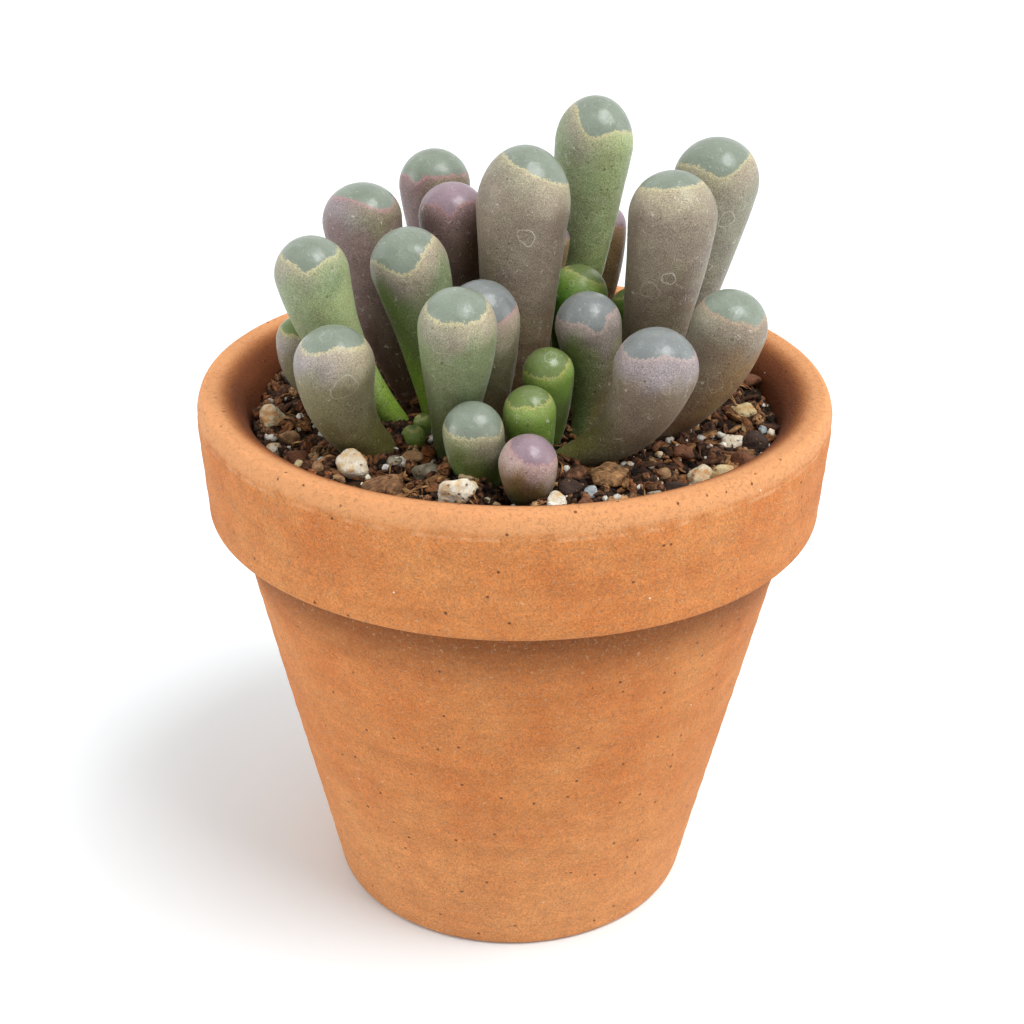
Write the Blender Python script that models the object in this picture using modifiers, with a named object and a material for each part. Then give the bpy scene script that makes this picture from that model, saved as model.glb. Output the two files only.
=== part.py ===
"""Potted baby toes: a clump of club shaped window leaves in a small terracotta pot.

Lengths are in millimetres and become metres where a mesh is made. The origin is the middle of the
pot's base, +Z is up, and the clump's front faces -Y.
"""

import math
import random
from typing import NamedTuple

import bmesh
import bpy
from mathutils import Vector

MM = 0.001
GAP = 0.3

# Pot, turned
POT_HEIGHT = 58.0
LIP_RADIUS = 32.5
COLLAR_FOOT_RADIUS = 31.9
COLLAR_FOOT_HEIGHT = 45.1
WALL_TOP_RADIUS = 29.4
BASE_RADIUS = 19.8
BASE_EDGE = 0.8
LIP_CREST_RADIUS = 31.5
LIP_OUTER_DROP = 2.5
LIP_INNER_DROP = 3.3
LIP_INNER_START = 12
COLLAR_ROUND = 0.7
COLLAR_FILLET = 0.5
WALL = 4.1
FLOOR = 4.0
FLOOR_FILLET = 1.2
DRAIN_RADIUS = 4.2
POT_SIDES = 48
LIP_OUTER_STEPS = 5
LIP_INNER_STEPS = 5
COLLAR_STEPS = 2

# Soil: a low dome, with stones drawn at random over a round field
SOIL_EDGE_HEIGHT = 54.4
SOIL_RISE = 0.6
SOIL_HEIGHT = 54.8
SOIL_SIDES = 36
SOIL_DOME_STEPS = 5
STONE_COUNT = 24
STONE_SEED = 11
STONE_FIELD = 26.2
STONE_WIDTHS = (1.3, 2.4)
STONE_DEPTH_SHARES = (0.7, 1.0)
STONE_HEIGHT_SHARES = (0.6, 0.9)
STONE_SPACING = 0.45
STONE_PROUD = 0.12
STONE_ROUGHNESS = 0.12

# Root crown: woody heads with flat tops, each with one main root
CROWN_TOP = 50.0
HEAD_DEPTH = 6.0
HEAD_SIDES = 18
HEAD_FOOT_SHARE = 0.55
ROOT_SIDES = 8
ROOT_TOP_RADIUS = 2.4
ROOT_FOOT_RADIUS = 0.7

# Leaf mesh: sides, steps below the shoulder and rings on the dome
LEAF_SIDES = 12
BUD_SIDES = 10
STALK_STEPS = 6
DOME_RINGS = 4

# Leaf below the soil: how far it leans to its head, its neck, and the pulls that curve it upright
LEAN_TO_HEAD = 0.22
NECK_SHARE = 0.72
BASE_PULL = 1.5
ENTRY_PULL = 1.2
BASE_RING_SHARE = 0.35
LOW_LEAF = 4.0

SLOPE = (WALL_TOP_RADIUS - BASE_RADIUS) / COLLAR_FOOT_HEIGHT
SHARP_ANGLE = math.radians(40)


class Head(NamedTuple):
    """One rosette's woody head below the soil: its middle, its radius and its main root's foot."""

    middle: tuple
    radius: float
    root_foot: tuple


HEADS = {
    "left": Head((-12.5, -4.5), 8.6, (-10.0, -5.0, 16.0)),
    "front": Head((1.0, -14.5), 8.2, (1.5, -10.0, 14.0)),
    "centre": Head((0.5, 0.5), 9.5, (0.0, 1.0, 9.0)),
    "right": Head((12.5, 2.0), 9.5, (8.5, 1.5, 15.0)),
    "rear": Head((-1.0, 15.0), 9.2, (-0.5, 9.5, 14.0)),
}


class Leaf(NamedTuple):
    """One leaf. It leaves the soil at root, bends past bend and is widest at shoulder.

    girth and stalk are its radii at the shoulder and at the soil, dome is the tip's height as a
    share of the girth, and taper shapes how soon it thins below the shoulder. tone is its colour.
    """

    head: str
    root: tuple
    bend: tuple
    shoulder: tuple
    girth: float
    stalk: float
    dome: float = 1.0
    taper: float = 1.2
    tone: str = "grey"


LEAVES = {
    "front_left": Leaf("left", (-13.2, -11.5), (-17, -13.5, 58), (-16.8, -15, 64.8), 3.85, 1.9),
    "left_tall": Leaf("left", (-11.5, -5.5), (-18, -6.6, 62), (-19.4, -8, 71.5), 3.55, 1.15),
    "far_left": Leaf("left", (-18, 0), (-22, -2.5, 58.5), (-21.4, -2.8, 62.7), 2.6, 1.4),
    "purple_left": Leaf(
        "left", (-10.5, 1), (-14.1, 1.6, 64.4), (-15.5, 3.6, 73.2), 4.05, 1.35, 0.95, tone="purple"
    ),
    "centre_left": Leaf("left", (-8, -4), (-8.3, -3.4, 63), (-10.35, -3.7, 70.8), 3.9, 1.2),
    "bud_low": Leaf(
        "left", (-9.9, -10.3), (-9.9, -10.4, 55), (-9.9, -10.4, 55.6), 1.25, 1.1, tone="green"
    ),
    "bud_high": Leaf(
        "left", (-9.2, -7.5), (-9.1, -8.1, 55.5), (-9.1, -8.1, 56.2), 0.9, 0.85, tone="green"
    ),
    "front_centre": Leaf(
        "front", (-6.5, -10.7), (-5.5, -12.7, 60.6), (-5.3, -15.5, 68.8), 3.7, 1.4, 1.05, 1.4
    ),
    "stub_grey": Leaf(
        "front", (-3.1, -16.2), (-3.7, -18, 57), (-3.8, -18.5, 59.75), 2.9, 2.4, 1.0, 1.5
    ),
    "stub_pink": Leaf(
        "front", (1.4, -19.9), (1.4, -21.3, 56), (1.3, -21.8, 58.1), 2.75, 2.1, 1.0, 1.3, "purple"
    ),
    "green_front": Leaf(
        "front", (1.5, -14.5), (1.6, -15.4, 57.5), (1.4, -16.3, 60.9), 2.5, 1.9, tone="green"
    ),
    "green_mid": Leaf(
        "front", (3, -9.5), (3.5, -10.6, 58), (3.2, -11.3, 62.8), 2.5, 1.4, tone="green"
    ),
    "front_right": Leaf(
        "front", (5, -13), (12, -14, 57), (13, -16.2, 65.2), 3.95, 1.15, 1.0, 1.1
    ),
    "pink_band": Leaf(
        "centre", (-3, -5.3), (-2.9, -6.5, 60), (-3.2, -7.45, 66.7), 3.65, 1.8, 1.1, 1.4, "purple"
    ),
    "mid_right": Leaf("centre", (7, -7.5), (8.5, -6, 58.5), (7.1, -6.5, 66), 3.25, 1.5),
    "big_centre": Leaf(
        "centre", (0.5, 0.3), (-0.1, -0.6, 63), (0.7, 0.5, 75.6), 4.72, 2.6, 1.3, 1.0
    ),
    "mid_purple": Leaf(
        "centre", (-4.5, 6), (-6, 5, 63), (-6.5, 6.2, 73), 3.5, 1.6, tone="purple"
    ),
    "green_back": Leaf(
        "centre", (6, 6), (6.5, 3.5, 60.5), (6.4, 4, 65.4), 3.2, 1.6, tone="green"
    ),
    "behind_centre": Leaf("centre", (1.5, 8.3), (2.8, 8.2, 64.5), (3.5, 8.1, 70), 2.1, 1.4),
    "right_large": Leaf("right", (13, 1.5), (14.7, -1, 66.5), (15.4, 0, 75), 4.35, 2.2, 1.04, 1.3),
    "right_low": Leaf(
        "right", (12, -7.5), (19, -8.2, 59.3), (20.5, -9, 66.7), 3.75, 2.0, 1.0, 1.1
    ),
    "right_back": Leaf(
        "right", (17, 10), (18.5, 7.5, 67), (20.6, 9, 76.2), 4.45, 1.8, 1.0, 1.1
    ),
    "green_small": Leaf(
        "right", (11.3, 8), (12.4, 6, 58.5), (12.4, 7.3, 62.6), 2.5, 1.3, tone="green"
    ),
    "back_tallest": Leaf(
        "rear", (5.5, 13), (7.0, 12.2, 68.5), (8.0, 12.6, 79), 4.15, 1.55, 1.2, 1.1
    ),
    "back_small": Leaf("rear", (7.5, 19), (10, 17, 62.5), (9.6, 18, 68.6), 2.5, 1.4),
    "back_purple": Leaf(
        "rear", (-5, 13), (-8, 13, 63), (-8.7, 14.5, 74.0), 3.75, 1.7, 1.02, tone="purple"
    ),
    "rear_left": Leaf("rear", (-9, 15.5), (-14, 13, 60.5), (-15, 14, 65.5), 2.8, 1.4),
    "rear_middle": Leaf(
        "rear", (0.5, 17.5), (0.5, 15.5, 63), (-0.5, 17, 68), 3.2, 1.6, 1.1, tone="purple"
    ),
    "rear_edge": Leaf("rear", (-4.5, 19.5), (-6, 19.5, 59.5), (-6.5, 21, 63.5), 2.7, 1.4),
    "rear_low": Leaf(
        "rear", (3.5, 21.5), (4.5, 20, 58.5), (4.5, 21, 61.5), 2.4, 1.4, tone="green"
    ),
    "rear_right": Leaf("right", (14.5, 14.5), (15.5, 14.5, 61.5), (16, 16, 67.5), 3.2, 1.5),
}

BUDS = ("bud_low", "bud_high")


class Stone(NamedTuple):
    """A stone or bark chip that stands out of the soil: its middle, three widths and turn."""

    middle: tuple
    size: tuple
    turn: float


LARGE_STONES = (
    Stone((-14.8, -17.6), (3.4, 2.6, 2.4), 10),
    Stone((-5.3, -23), (3.4, 2.5, 2.2), -15),
    Stone((-8.6, -15.6), (3.0, 2.8, 2.6), 40),
    Stone((-11.5, -20.4), (6.0, 4.0, 1.8), 12),
    Stone((9.6, -19.6), (4.2, 3.4, 2.0), -20),
    Stone((17.3, -16), (3.0, 2.6, 2.4), 25),
    Stone((22.6, -1.3), (2.6, 2.4, 2.2), 0),
    Stone((23.6, -7.7), (2.4, 2.2, 2.0), 50),
    Stone((-24.4, -6), (3.2, 2.6, 2.2), 70),
    Stone((-22.5, -11.2), (2.6, 2.2, 2.0), 30),
    Stone((-19.6, -16), (2.8, 2.4, 2.0), -40),
    Stone((5.6, -24), (2.6, 2.2, 1.8), 5),
    Stone((13.5, -20.9), (2.4, 2.4, 1.8), 80),
    Stone((-0.5, -24.8), (2.2, 1.8, 1.6), 20),
)


def material(name, colour, roughness):
    """A Principled material. colour is linear red, green and blue."""
    made = bpy.data.materials.new(name)
    made.use_nodes = True
    shader = made.node_tree.nodes["Principled BSDF"]
    shader.inputs["Base Color"].default_value = (*colour, 1.0)
    shader.inputs["Roughness"].default_value = roughness
    shader.inputs["Metallic"].default_value = 0.0
    return made


def collection(name):
    made = bpy.data.collections.new(name)
    bpy.context.scene.collection.children.link(made)
    return made


def mesh_object(name, mesh, home, finish=None):
    piece = bpy.data.objects.new(name, mesh)
    home.objects.link(piece)
    if finish:
        mesh.materials.append(finish)
    return piece


def as_cutter(piece):
    piece.hide_render = True
    piece.display_type = "WIRE"
    return piece


def turned(name, profile, sides, home, finish=None, closed=True):
    """A profile of (radius, height) points, turned about Z. It runs down its outer side."""
    mesh = bpy.data.meshes.new(name)
    points = [(radius * MM, 0, height * MM) for radius, height in profile]
    edges = [(i, i + 1) for i in range(len(points) - 1)]
    if closed:
        edges.append((len(points) - 1, 0))
    mesh.from_pydata(points, edges, [])
    piece = mesh_object(name, mesh, home, finish)
    screw = piece.modifiers.new("Turn", "SCREW")
    screw.steps = screw.render_steps = sides
    screw.use_merge_vertices = True
    screw.merge_threshold = 0.00001
    screw.use_smooth_shade = True
    applied(piece)
    piece.data.set_sharp_from_angle(angle=SHARP_ANGLE)
    return piece


def arc(centre, width, height, start, end, steps):
    """Points on an oval arc in the profile's plane, with its angles in degrees from the outward
    radius. width and height are half the oval's."""
    found = []
    for i in range(steps + 1):
        angle = math.radians(start + (end - start) * i / steps)
        found.append((centre[0] + width * math.cos(angle), centre[1] + height * math.sin(angle)))
    return found


def inner_radius(height):
    """The pot's inner wall, parallel to its outer one."""
    return WALL_TOP_RADIUS - WALL - SLOPE * (COLLAR_FOOT_HEIGHT - height)


def lip_inside():
    """The lip's inner side: an oval arc that runs on from the wall and over to the crest."""
    start = math.radians(LIP_INNER_START)
    middle = POT_HEIGHT - LIP_INNER_DROP
    wall = inner_radius(middle + LIP_INNER_DROP * math.sin(start))
    width = (LIP_CREST_RADIUS - wall) / math.cos(start)
    centre = (LIP_CREST_RADIUS, middle)
    return arc(centre, width, LIP_INNER_DROP, 180 - LIP_INNER_START, 90, LIP_INNER_STEPS)[:-1]


def pot_profile():
    """The pot's closed section: lip, collar, wall, base, drain hole, floor and inner wall."""
    lip_outer = (LIP_CREST_RADIUS, POT_HEIGHT - LIP_OUTER_DROP)
    lip_width = LIP_RADIUS - LIP_CREST_RADIUS
    collar_foot = (COLLAR_FOOT_RADIUS - COLLAR_ROUND, COLLAR_FOOT_HEIGHT + COLLAR_ROUND)
    points = arc(lip_outer, lip_width, LIP_OUTER_DROP, 90, 0, LIP_OUTER_STEPS)
    points += arc(collar_foot, COLLAR_ROUND, COLLAR_ROUND, 0, -90, COLLAR_STEPS)
    points.append((WALL_TOP_RADIUS + COLLAR_FILLET, COLLAR_FOOT_HEIGHT))
    points.append(
        (WALL_TOP_RADIUS - SLOPE * COLLAR_FILLET, COLLAR_FOOT_HEIGHT - COLLAR_FILLET)
    )
    points.append((BASE_RADIUS + SLOPE * BASE_EDGE, BASE_EDGE))
    points.append((BASE_RADIUS - BASE_EDGE, 0))
    points.append((DRAIN_RADIUS, 0))
    points.append((DRAIN_RADIUS, FLOOR))
    points.append((inner_radius(FLOOR) - FLOOR_FILLET, FLOOR))
    points.append((inner_radius(FLOOR + FLOOR_FILLET), FLOOR + FLOOR_FILLET))
    return points + lip_inside()


def make_pot(home, finish):
    return turned("pot", pot_profile(), POT_SIDES, home, finish)


def cubic(a, b, c, d, t):
    s = 1 - t
    return a * s**3 + b * (3 * s * s * t) + c * (3 * s * t * t) + d * t**3


def leaf_axis(leaf):
    """The leaf's midline from its base on the crown to its shoulder, and its steps in the soil.

    Below the soil the midline curves up from the head's flat top to root. Above it, it is a
    quadratic curve from root to shoulder, pulled by bend.
    """
    root = Vector((*leaf.root, SOIL_HEIGHT))
    bend = Vector(leaf.bend)
    shoulder = Vector(leaf.shoulder)
    head = Vector((*HEADS[leaf.head].middle, SOIL_HEIGHT))
    base = root.lerp(head, LEAN_TO_HEAD)
    base.z = CROWN_TOP + GAP
    rise = (bend - root).normalized()
    below = 2 if leaf.shoulder[2] - SOIL_HEIGHT > LOW_LEAF else 3
    above = STALK_STEPS - below
    base_handle = base + Vector((0, 0, BASE_PULL))
    entry_handle = root - rise * ENTRY_PULL
    points = []
    for i in range(below):
        points.append(cubic(base, base_handle, entry_handle, root, i / below))
    for i in range(above + 1):
        t = i / above
        points.append(root * (1 - t) ** 2 + bend * (2 * t * (1 - t)) + shoulder * t**2)
    return points, below


def leaf_girths(leaf, points, below):
    """The radius at each midline point: a thin neck in the soil, then a growing club."""
    lengths = [0.0]
    for a, b in zip(points[below:], points[below + 1 :]):
        lengths.append(lengths[-1] + (b - a).length)
    neck = leaf.stalk * NECK_SHARE
    found = [neck + (leaf.stalk - neck) * i / below for i in range(below)]
    for length in lengths:
        left = 1 - length / lengths[-1]
        found.append(leaf.girth + (leaf.stalk - leaf.girth) * left**leaf.taper)
    return found


def leaf_mesh(name, leaf, sides, grown=0.0):
    """A UV sphere drawn out along the leaf's midline, or grown by an even clearance all round."""
    points, below = leaf_axis(leaf)
    girths = leaf_girths(leaf, points, below)
    rings = len(points) + DOME_RINGS
    tangents = []
    for i in range(len(points)):
        ahead = points[min(i + 1, len(points) - 1)]
        behind = points[max(i - 1, 0)]
        tangents.append((ahead - behind).normalized())
    tip_way = (points[-1] - Vector(leaf.bend)).normalized()
    tangents[-1] = tip_way

    def place(ring, turn):
        """Where ring number ring, at angle turn, lies. Ring 0 is the base's one point."""
        if ring == 0:
            return points[0] - Vector((0, 0, grown))
        if ring < len(points):
            middle, way, girth = points[ring], tangents[ring], girths[ring] + grown
            if ring == 1:
                middle = points[0].lerp(points[1], BASE_RING_SHARE)
                girth = girths[0] + grown
                way = Vector((0, 0, 1))
        else:
            rise = math.pi / 2 * (ring - len(points) + 1) / (DOME_RINGS + 1)
            way = tip_way
            middle = points[-1] + way * (math.sin(rise) * (leaf.girth * leaf.dome + grown))
            girth = math.cos(rise) * (leaf.girth + grown)
        side = Vector((0, 1, 0)).cross(way).normalized()
        front = way.cross(side)
        return middle + (side * math.cos(turn) + front * math.sin(turn)) * girth

    shape = bmesh.new()
    bmesh.ops.create_uvsphere(shape, u_segments=sides, v_segments=rings, radius=1.0)
    for vertex in shape.verts:
        polar = math.acos(max(-1.0, min(1.0, -vertex.co.z)))
        ring = round(polar / math.pi * rings)
        turn = math.atan2(vertex.co.y, vertex.co.x)
        vertex.co = place(ring, turn) * MM
    for face in shape.faces:
        face.smooth = True
    mesh = bpy.data.meshes.new(name)
    shape.to_mesh(mesh)
    shape.free()
    return mesh


def make_leaves(home, cutters, finishes):
    for name, leaf in LEAVES.items():
        sides = BUD_SIDES if name in BUDS else LEAF_SIDES
        mesh_object("leaf_" + name, leaf_mesh(name, leaf, sides), home, finishes[leaf.tone])
        hole = leaf_mesh(name + "_hole", leaf, sides, GAP)
        as_cutter(mesh_object(name + "_hole", hole, cutters))


def cone_mesh(name, foot, top, foot_radius, top_radius, sides, grown):
    """A cone from foot to top, grown by an even clearance all round."""
    way = top - foot
    shape = bmesh.new()
    bmesh.ops.create_cone(
        shape,
        cap_ends=True,
        segments=sides,
        radius1=(foot_radius + grown) * MM,
        radius2=(top_radius + grown) * MM,
        depth=(way.length + 2 * grown) * MM,
    )
    turn = Vector((0, 0, 1)).rotation_difference(way).to_matrix()
    bmesh.ops.rotate(shape, verts=shape.verts, matrix=turn)
    bmesh.ops.translate(shape, verts=shape.verts, vec=(top + foot) / 2 * MM)
    mesh = bpy.data.meshes.new(name)
    shape.to_mesh(mesh)
    shape.free()
    return mesh


def root_mesh(name, head, grown=0.0):
    """A main root, from inside its head down to root_foot."""
    top = Vector((*head.middle, CROWN_TOP - HEAD_DEPTH / 2))
    foot = Vector(head.root_foot)
    return cone_mesh(name, foot, top, ROOT_FOOT_RADIUS, ROOT_TOP_RADIUS, ROOT_SIDES, grown)


def head_mesh(name, head, grown=0.0):
    """A woody head: a short stump, flat on top and narrower below."""
    top = Vector((*head.middle, CROWN_TOP))
    foot = top - Vector((0, 0, HEAD_DEPTH))
    return cone_mesh(
        name, foot, top, head.radius * HEAD_FOOT_SHARE, head.radius, HEAD_SIDES, grown
    )


def applied(piece):
    """Turns the piece's modifiers into its mesh."""
    graph = bpy.context.evaluated_depsgraph_get()
    mesh = bpy.data.meshes.new_from_object(piece.evaluated_get(graph))
    piece.modifiers.clear()
    old = piece.data
    piece.data = mesh
    bpy.data.meshes.remove(old)
    return piece


def joined(piece, others):
    """The Boolean union of piece and a collection of others, which are then removed."""
    union = piece.modifiers.new("Join", "BOOLEAN")
    union.operation = "UNION"
    union.operand_type = "COLLECTION"
    union.solver = "EXACT"
    union.collection = others
    applied(piece)
    for other in list(others.objects):
        bpy.data.objects.remove(other)
    bpy.data.collections.remove(others)
    return piece


def crown_object(name, home, finish, grown=0.0):
    """The five heads and their main roots, joined into one."""
    rest = collection(name + "_pieces")
    first = None
    for label, head in HEADS.items():
        stump = head_mesh(label + "_head", head, grown)
        if first is None:
            first = mesh_object(name, stump, home, finish)
        else:
            mesh_object(label + "_head", stump, rest)
        mesh_object(label + "_root", root_mesh(label + "_root", head, grown), rest)
    return joined(first, rest)


def stone_mesh(name, stone, draw):
    """A rough stone: an icosphere of 20 faces, its points pushed in and out by seeded draws."""
    shape = bmesh.new()
    bmesh.ops.create_icosphere(shape, subdivisions=1, radius=0.5)
    turn = math.radians(stone.turn)
    rise = SOIL_HEIGHT + stone.size[2] * STONE_PROUD
    for vertex in shape.verts:
        push = 1.0 + draw.uniform(-STONE_ROUGHNESS, STONE_ROUGHNESS)
        x, y, z = (vertex.co[i] * stone.size[i] * push for i in range(3))
        along = stone.middle[0] + x * math.cos(turn) - y * math.sin(turn)
        across = stone.middle[1] + x * math.sin(turn) + y * math.cos(turn)
        vertex.co = Vector((along, across, rise + z)) * MM
    mesh = bpy.data.meshes.new(name)
    shape.to_mesh(mesh)
    shape.free()
    return mesh


def clear_of_leaves(place, reach):
    """Whether a stone of this reach stays off every leaf's root and off the low leaves' bellies."""
    for leaf in LEAVES.values():
        if math.dist(place, leaf.root) < leaf.stalk + reach:
            return False
        low = leaf.shoulder[2] - leaf.girth < SOIL_HEIGHT + STONE_WIDTHS[1]
        if low and math.dist(place, leaf.shoulder[:2]) < leaf.girth + reach:
            return False
    return True


def all_stones(draw):
    """The large stones, and smaller ones drawn at random, kept apart from them and the leaves."""
    found = list(LARGE_STONES)
    while len(found) < len(LARGE_STONES) + STONE_COUNT:
        away = STONE_FIELD * math.sqrt(draw.random())
        angle = draw.uniform(0, 2 * math.pi)
        place = (away * math.cos(angle), away * math.sin(angle))
        width = draw.uniform(*STONE_WIDTHS)
        apart = all(
            math.dist(place, other.middle) > (width + other.size[0]) / 2 + STONE_SPACING
            for other in found
        )
        inside = away + width / 2 < STONE_FIELD
        if apart and inside and clear_of_leaves(place, width / 2 + STONE_SPACING):
            depth = width * draw.uniform(*STONE_DEPTH_SHARES)
            height = width * draw.uniform(*STONE_HEIGHT_SHARES)
            found.append(Stone(place, (width, depth, height), draw.uniform(0, 180)))
    return found


def soil_profile():
    """The soil's section: a low dome down to the wall, then the inside of the pot less the gap."""
    points = []
    edge = inner_radius(SOIL_EDGE_HEIGHT) - GAP
    for i in range(SOIL_DOME_STEPS + 1):
        share = i / SOIL_DOME_STEPS
        points.append((edge * share, SOIL_EDGE_HEIGHT + SOIL_RISE * (1 - share * share)))
    foot = FLOOR + GAP
    points.append((inner_radius(foot + FLOOR_FILLET) - GAP, foot + FLOOR_FILLET))
    points.append((inner_radius(foot) - FLOOR_FILLET - GAP, foot))
    points.append((0, foot))
    return points


def make_soil(home, cutters, finish):
    """The soil with its stones, less the space of the leaves and of the crown."""
    draw = random.Random(STONE_SEED)
    soil = turned("soil", soil_profile(), SOIL_SIDES, home, finish, closed=False)
    stones = collection("stones")
    for number, stone in enumerate(all_stones(draw)):
        mesh_object("stone", stone_mesh(f"stone_{number}", stone, draw), stones)
    joined(soil, stones)
    holes = soil.modifiers.new("Leaf and crown holes", "BOOLEAN")
    holes.operation = "DIFFERENCE"
    holes.operand_type = "COLLECTION"
    holes.solver = "EXACT"
    holes.collection = cutters
    return soil


def main():
    for old in list(bpy.data.objects):
        bpy.data.objects.remove(old)
    parts = collection("potted_baby_toes")
    cutters = collection("cutters")
    finishes = {
        "grey": material("Window leaf, grey green", (0.27, 0.27, 0.2), 0.42),
        "green": material("Window leaf, young green", (0.16, 0.26, 0.06), 0.4),
        "purple": material("Window leaf, sun flushed", (0.26, 0.2, 0.19), 0.42),
    }
    make_pot(parts, material("Terracotta", (0.62, 0.3, 0.15), 0.85))
    make_leaves(parts, cutters, finishes)
    crown_object("root_crown", parts, material("Root bark", (0.16, 0.1, 0.06), 0.9))
    as_cutter(crown_object("crown_hole", cutters, None, GAP))
    make_soil(parts, cutters, material("Gritty potting mix", (0.09, 0.055, 0.035), 0.95))


main()
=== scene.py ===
"""Potted baby toes: a clump of window leaves, its gritty soil and its clay pot."""
import math

import bpy
import numpy as np
from mathutils import Matrix


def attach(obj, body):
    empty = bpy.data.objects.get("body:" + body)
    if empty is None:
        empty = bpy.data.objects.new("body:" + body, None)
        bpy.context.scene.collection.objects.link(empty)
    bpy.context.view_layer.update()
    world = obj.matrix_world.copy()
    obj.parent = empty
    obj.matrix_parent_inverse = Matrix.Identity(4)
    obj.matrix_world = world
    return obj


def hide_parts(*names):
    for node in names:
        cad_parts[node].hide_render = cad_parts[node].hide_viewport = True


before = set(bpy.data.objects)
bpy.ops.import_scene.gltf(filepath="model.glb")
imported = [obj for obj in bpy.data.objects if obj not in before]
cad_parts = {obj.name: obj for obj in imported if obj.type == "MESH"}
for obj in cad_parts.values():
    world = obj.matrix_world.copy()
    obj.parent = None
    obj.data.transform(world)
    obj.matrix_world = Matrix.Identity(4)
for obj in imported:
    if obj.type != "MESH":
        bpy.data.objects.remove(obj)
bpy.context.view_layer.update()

MM = 0.001
SOIL_HEIGHT = 54.8
POT_HEIGHT = 58.0
LIP_RADIUS = 32.5
LIP_CREST_RADIUS = 31.5
LIP_OUTER_DROP = 2.5
LIP_INNER_DROP = 3.3
LIP_INNER_START = 12
LIP_LINE = 55.7
COLLAR_FOOT_RADIUS = 31.9
COLLAR_FOOT_HEIGHT = 45.1
WALL_TOP_RADIUS = 29.4
WALL = 4.1
BASE_RADIUS = 19.8
DRAIN_RADIUS = 4.2
FLOOR = 4.0
WALL_SLOPE = (WALL_TOP_RADIUS - BASE_RADIUS) / COLLAR_FOOT_HEIGHT
# The rounding of the collar's foot, the angle under it, the base, both edges of the drain hole and
# the floor's corner
POT_ROUNDS = (0.7, 0.5, 0.8, 0.4, 0.4, 1.2)
POT_SIDES = 240

# The bed of soil: its gap to the pot, the heights of its rim and foot, and its rings of points
BED_GAP = 0.3
BED_RIM = 54.0
BED_FOOT = 5.5
BED_BASE = 4.3
BED_SIDES = 260
BED_TOP_RINGS = 73
BED_SIDE_RINGS = 25

# A leaf's finest part is its tip: rings and points round for each mm of its thickness
LEAF_RINGS = (6, 6.5)
LEAF_SIDES = (24, 18)
NECK_FOOT = 50.3

# The camera stands where the photograph was taken from: millimetres, and degrees down and over
CAMERA_PLACE = np.array([-0.15, -158.51, 121.21])
CAMERA_PITCH = math.radians(26.455)
CAMERA_ROLL = math.radians(0.529)
CAMERA_LENS = 58.008

# Where each rosette's head stands in the soil
HEADS = {
    "left": (-12.5, -4.5),
    "front": (1, -14.5),
    "centre": (0.5, 0.5),
    "right": (12.5, 2),
    "rear": (-1, 15),
}

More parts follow.
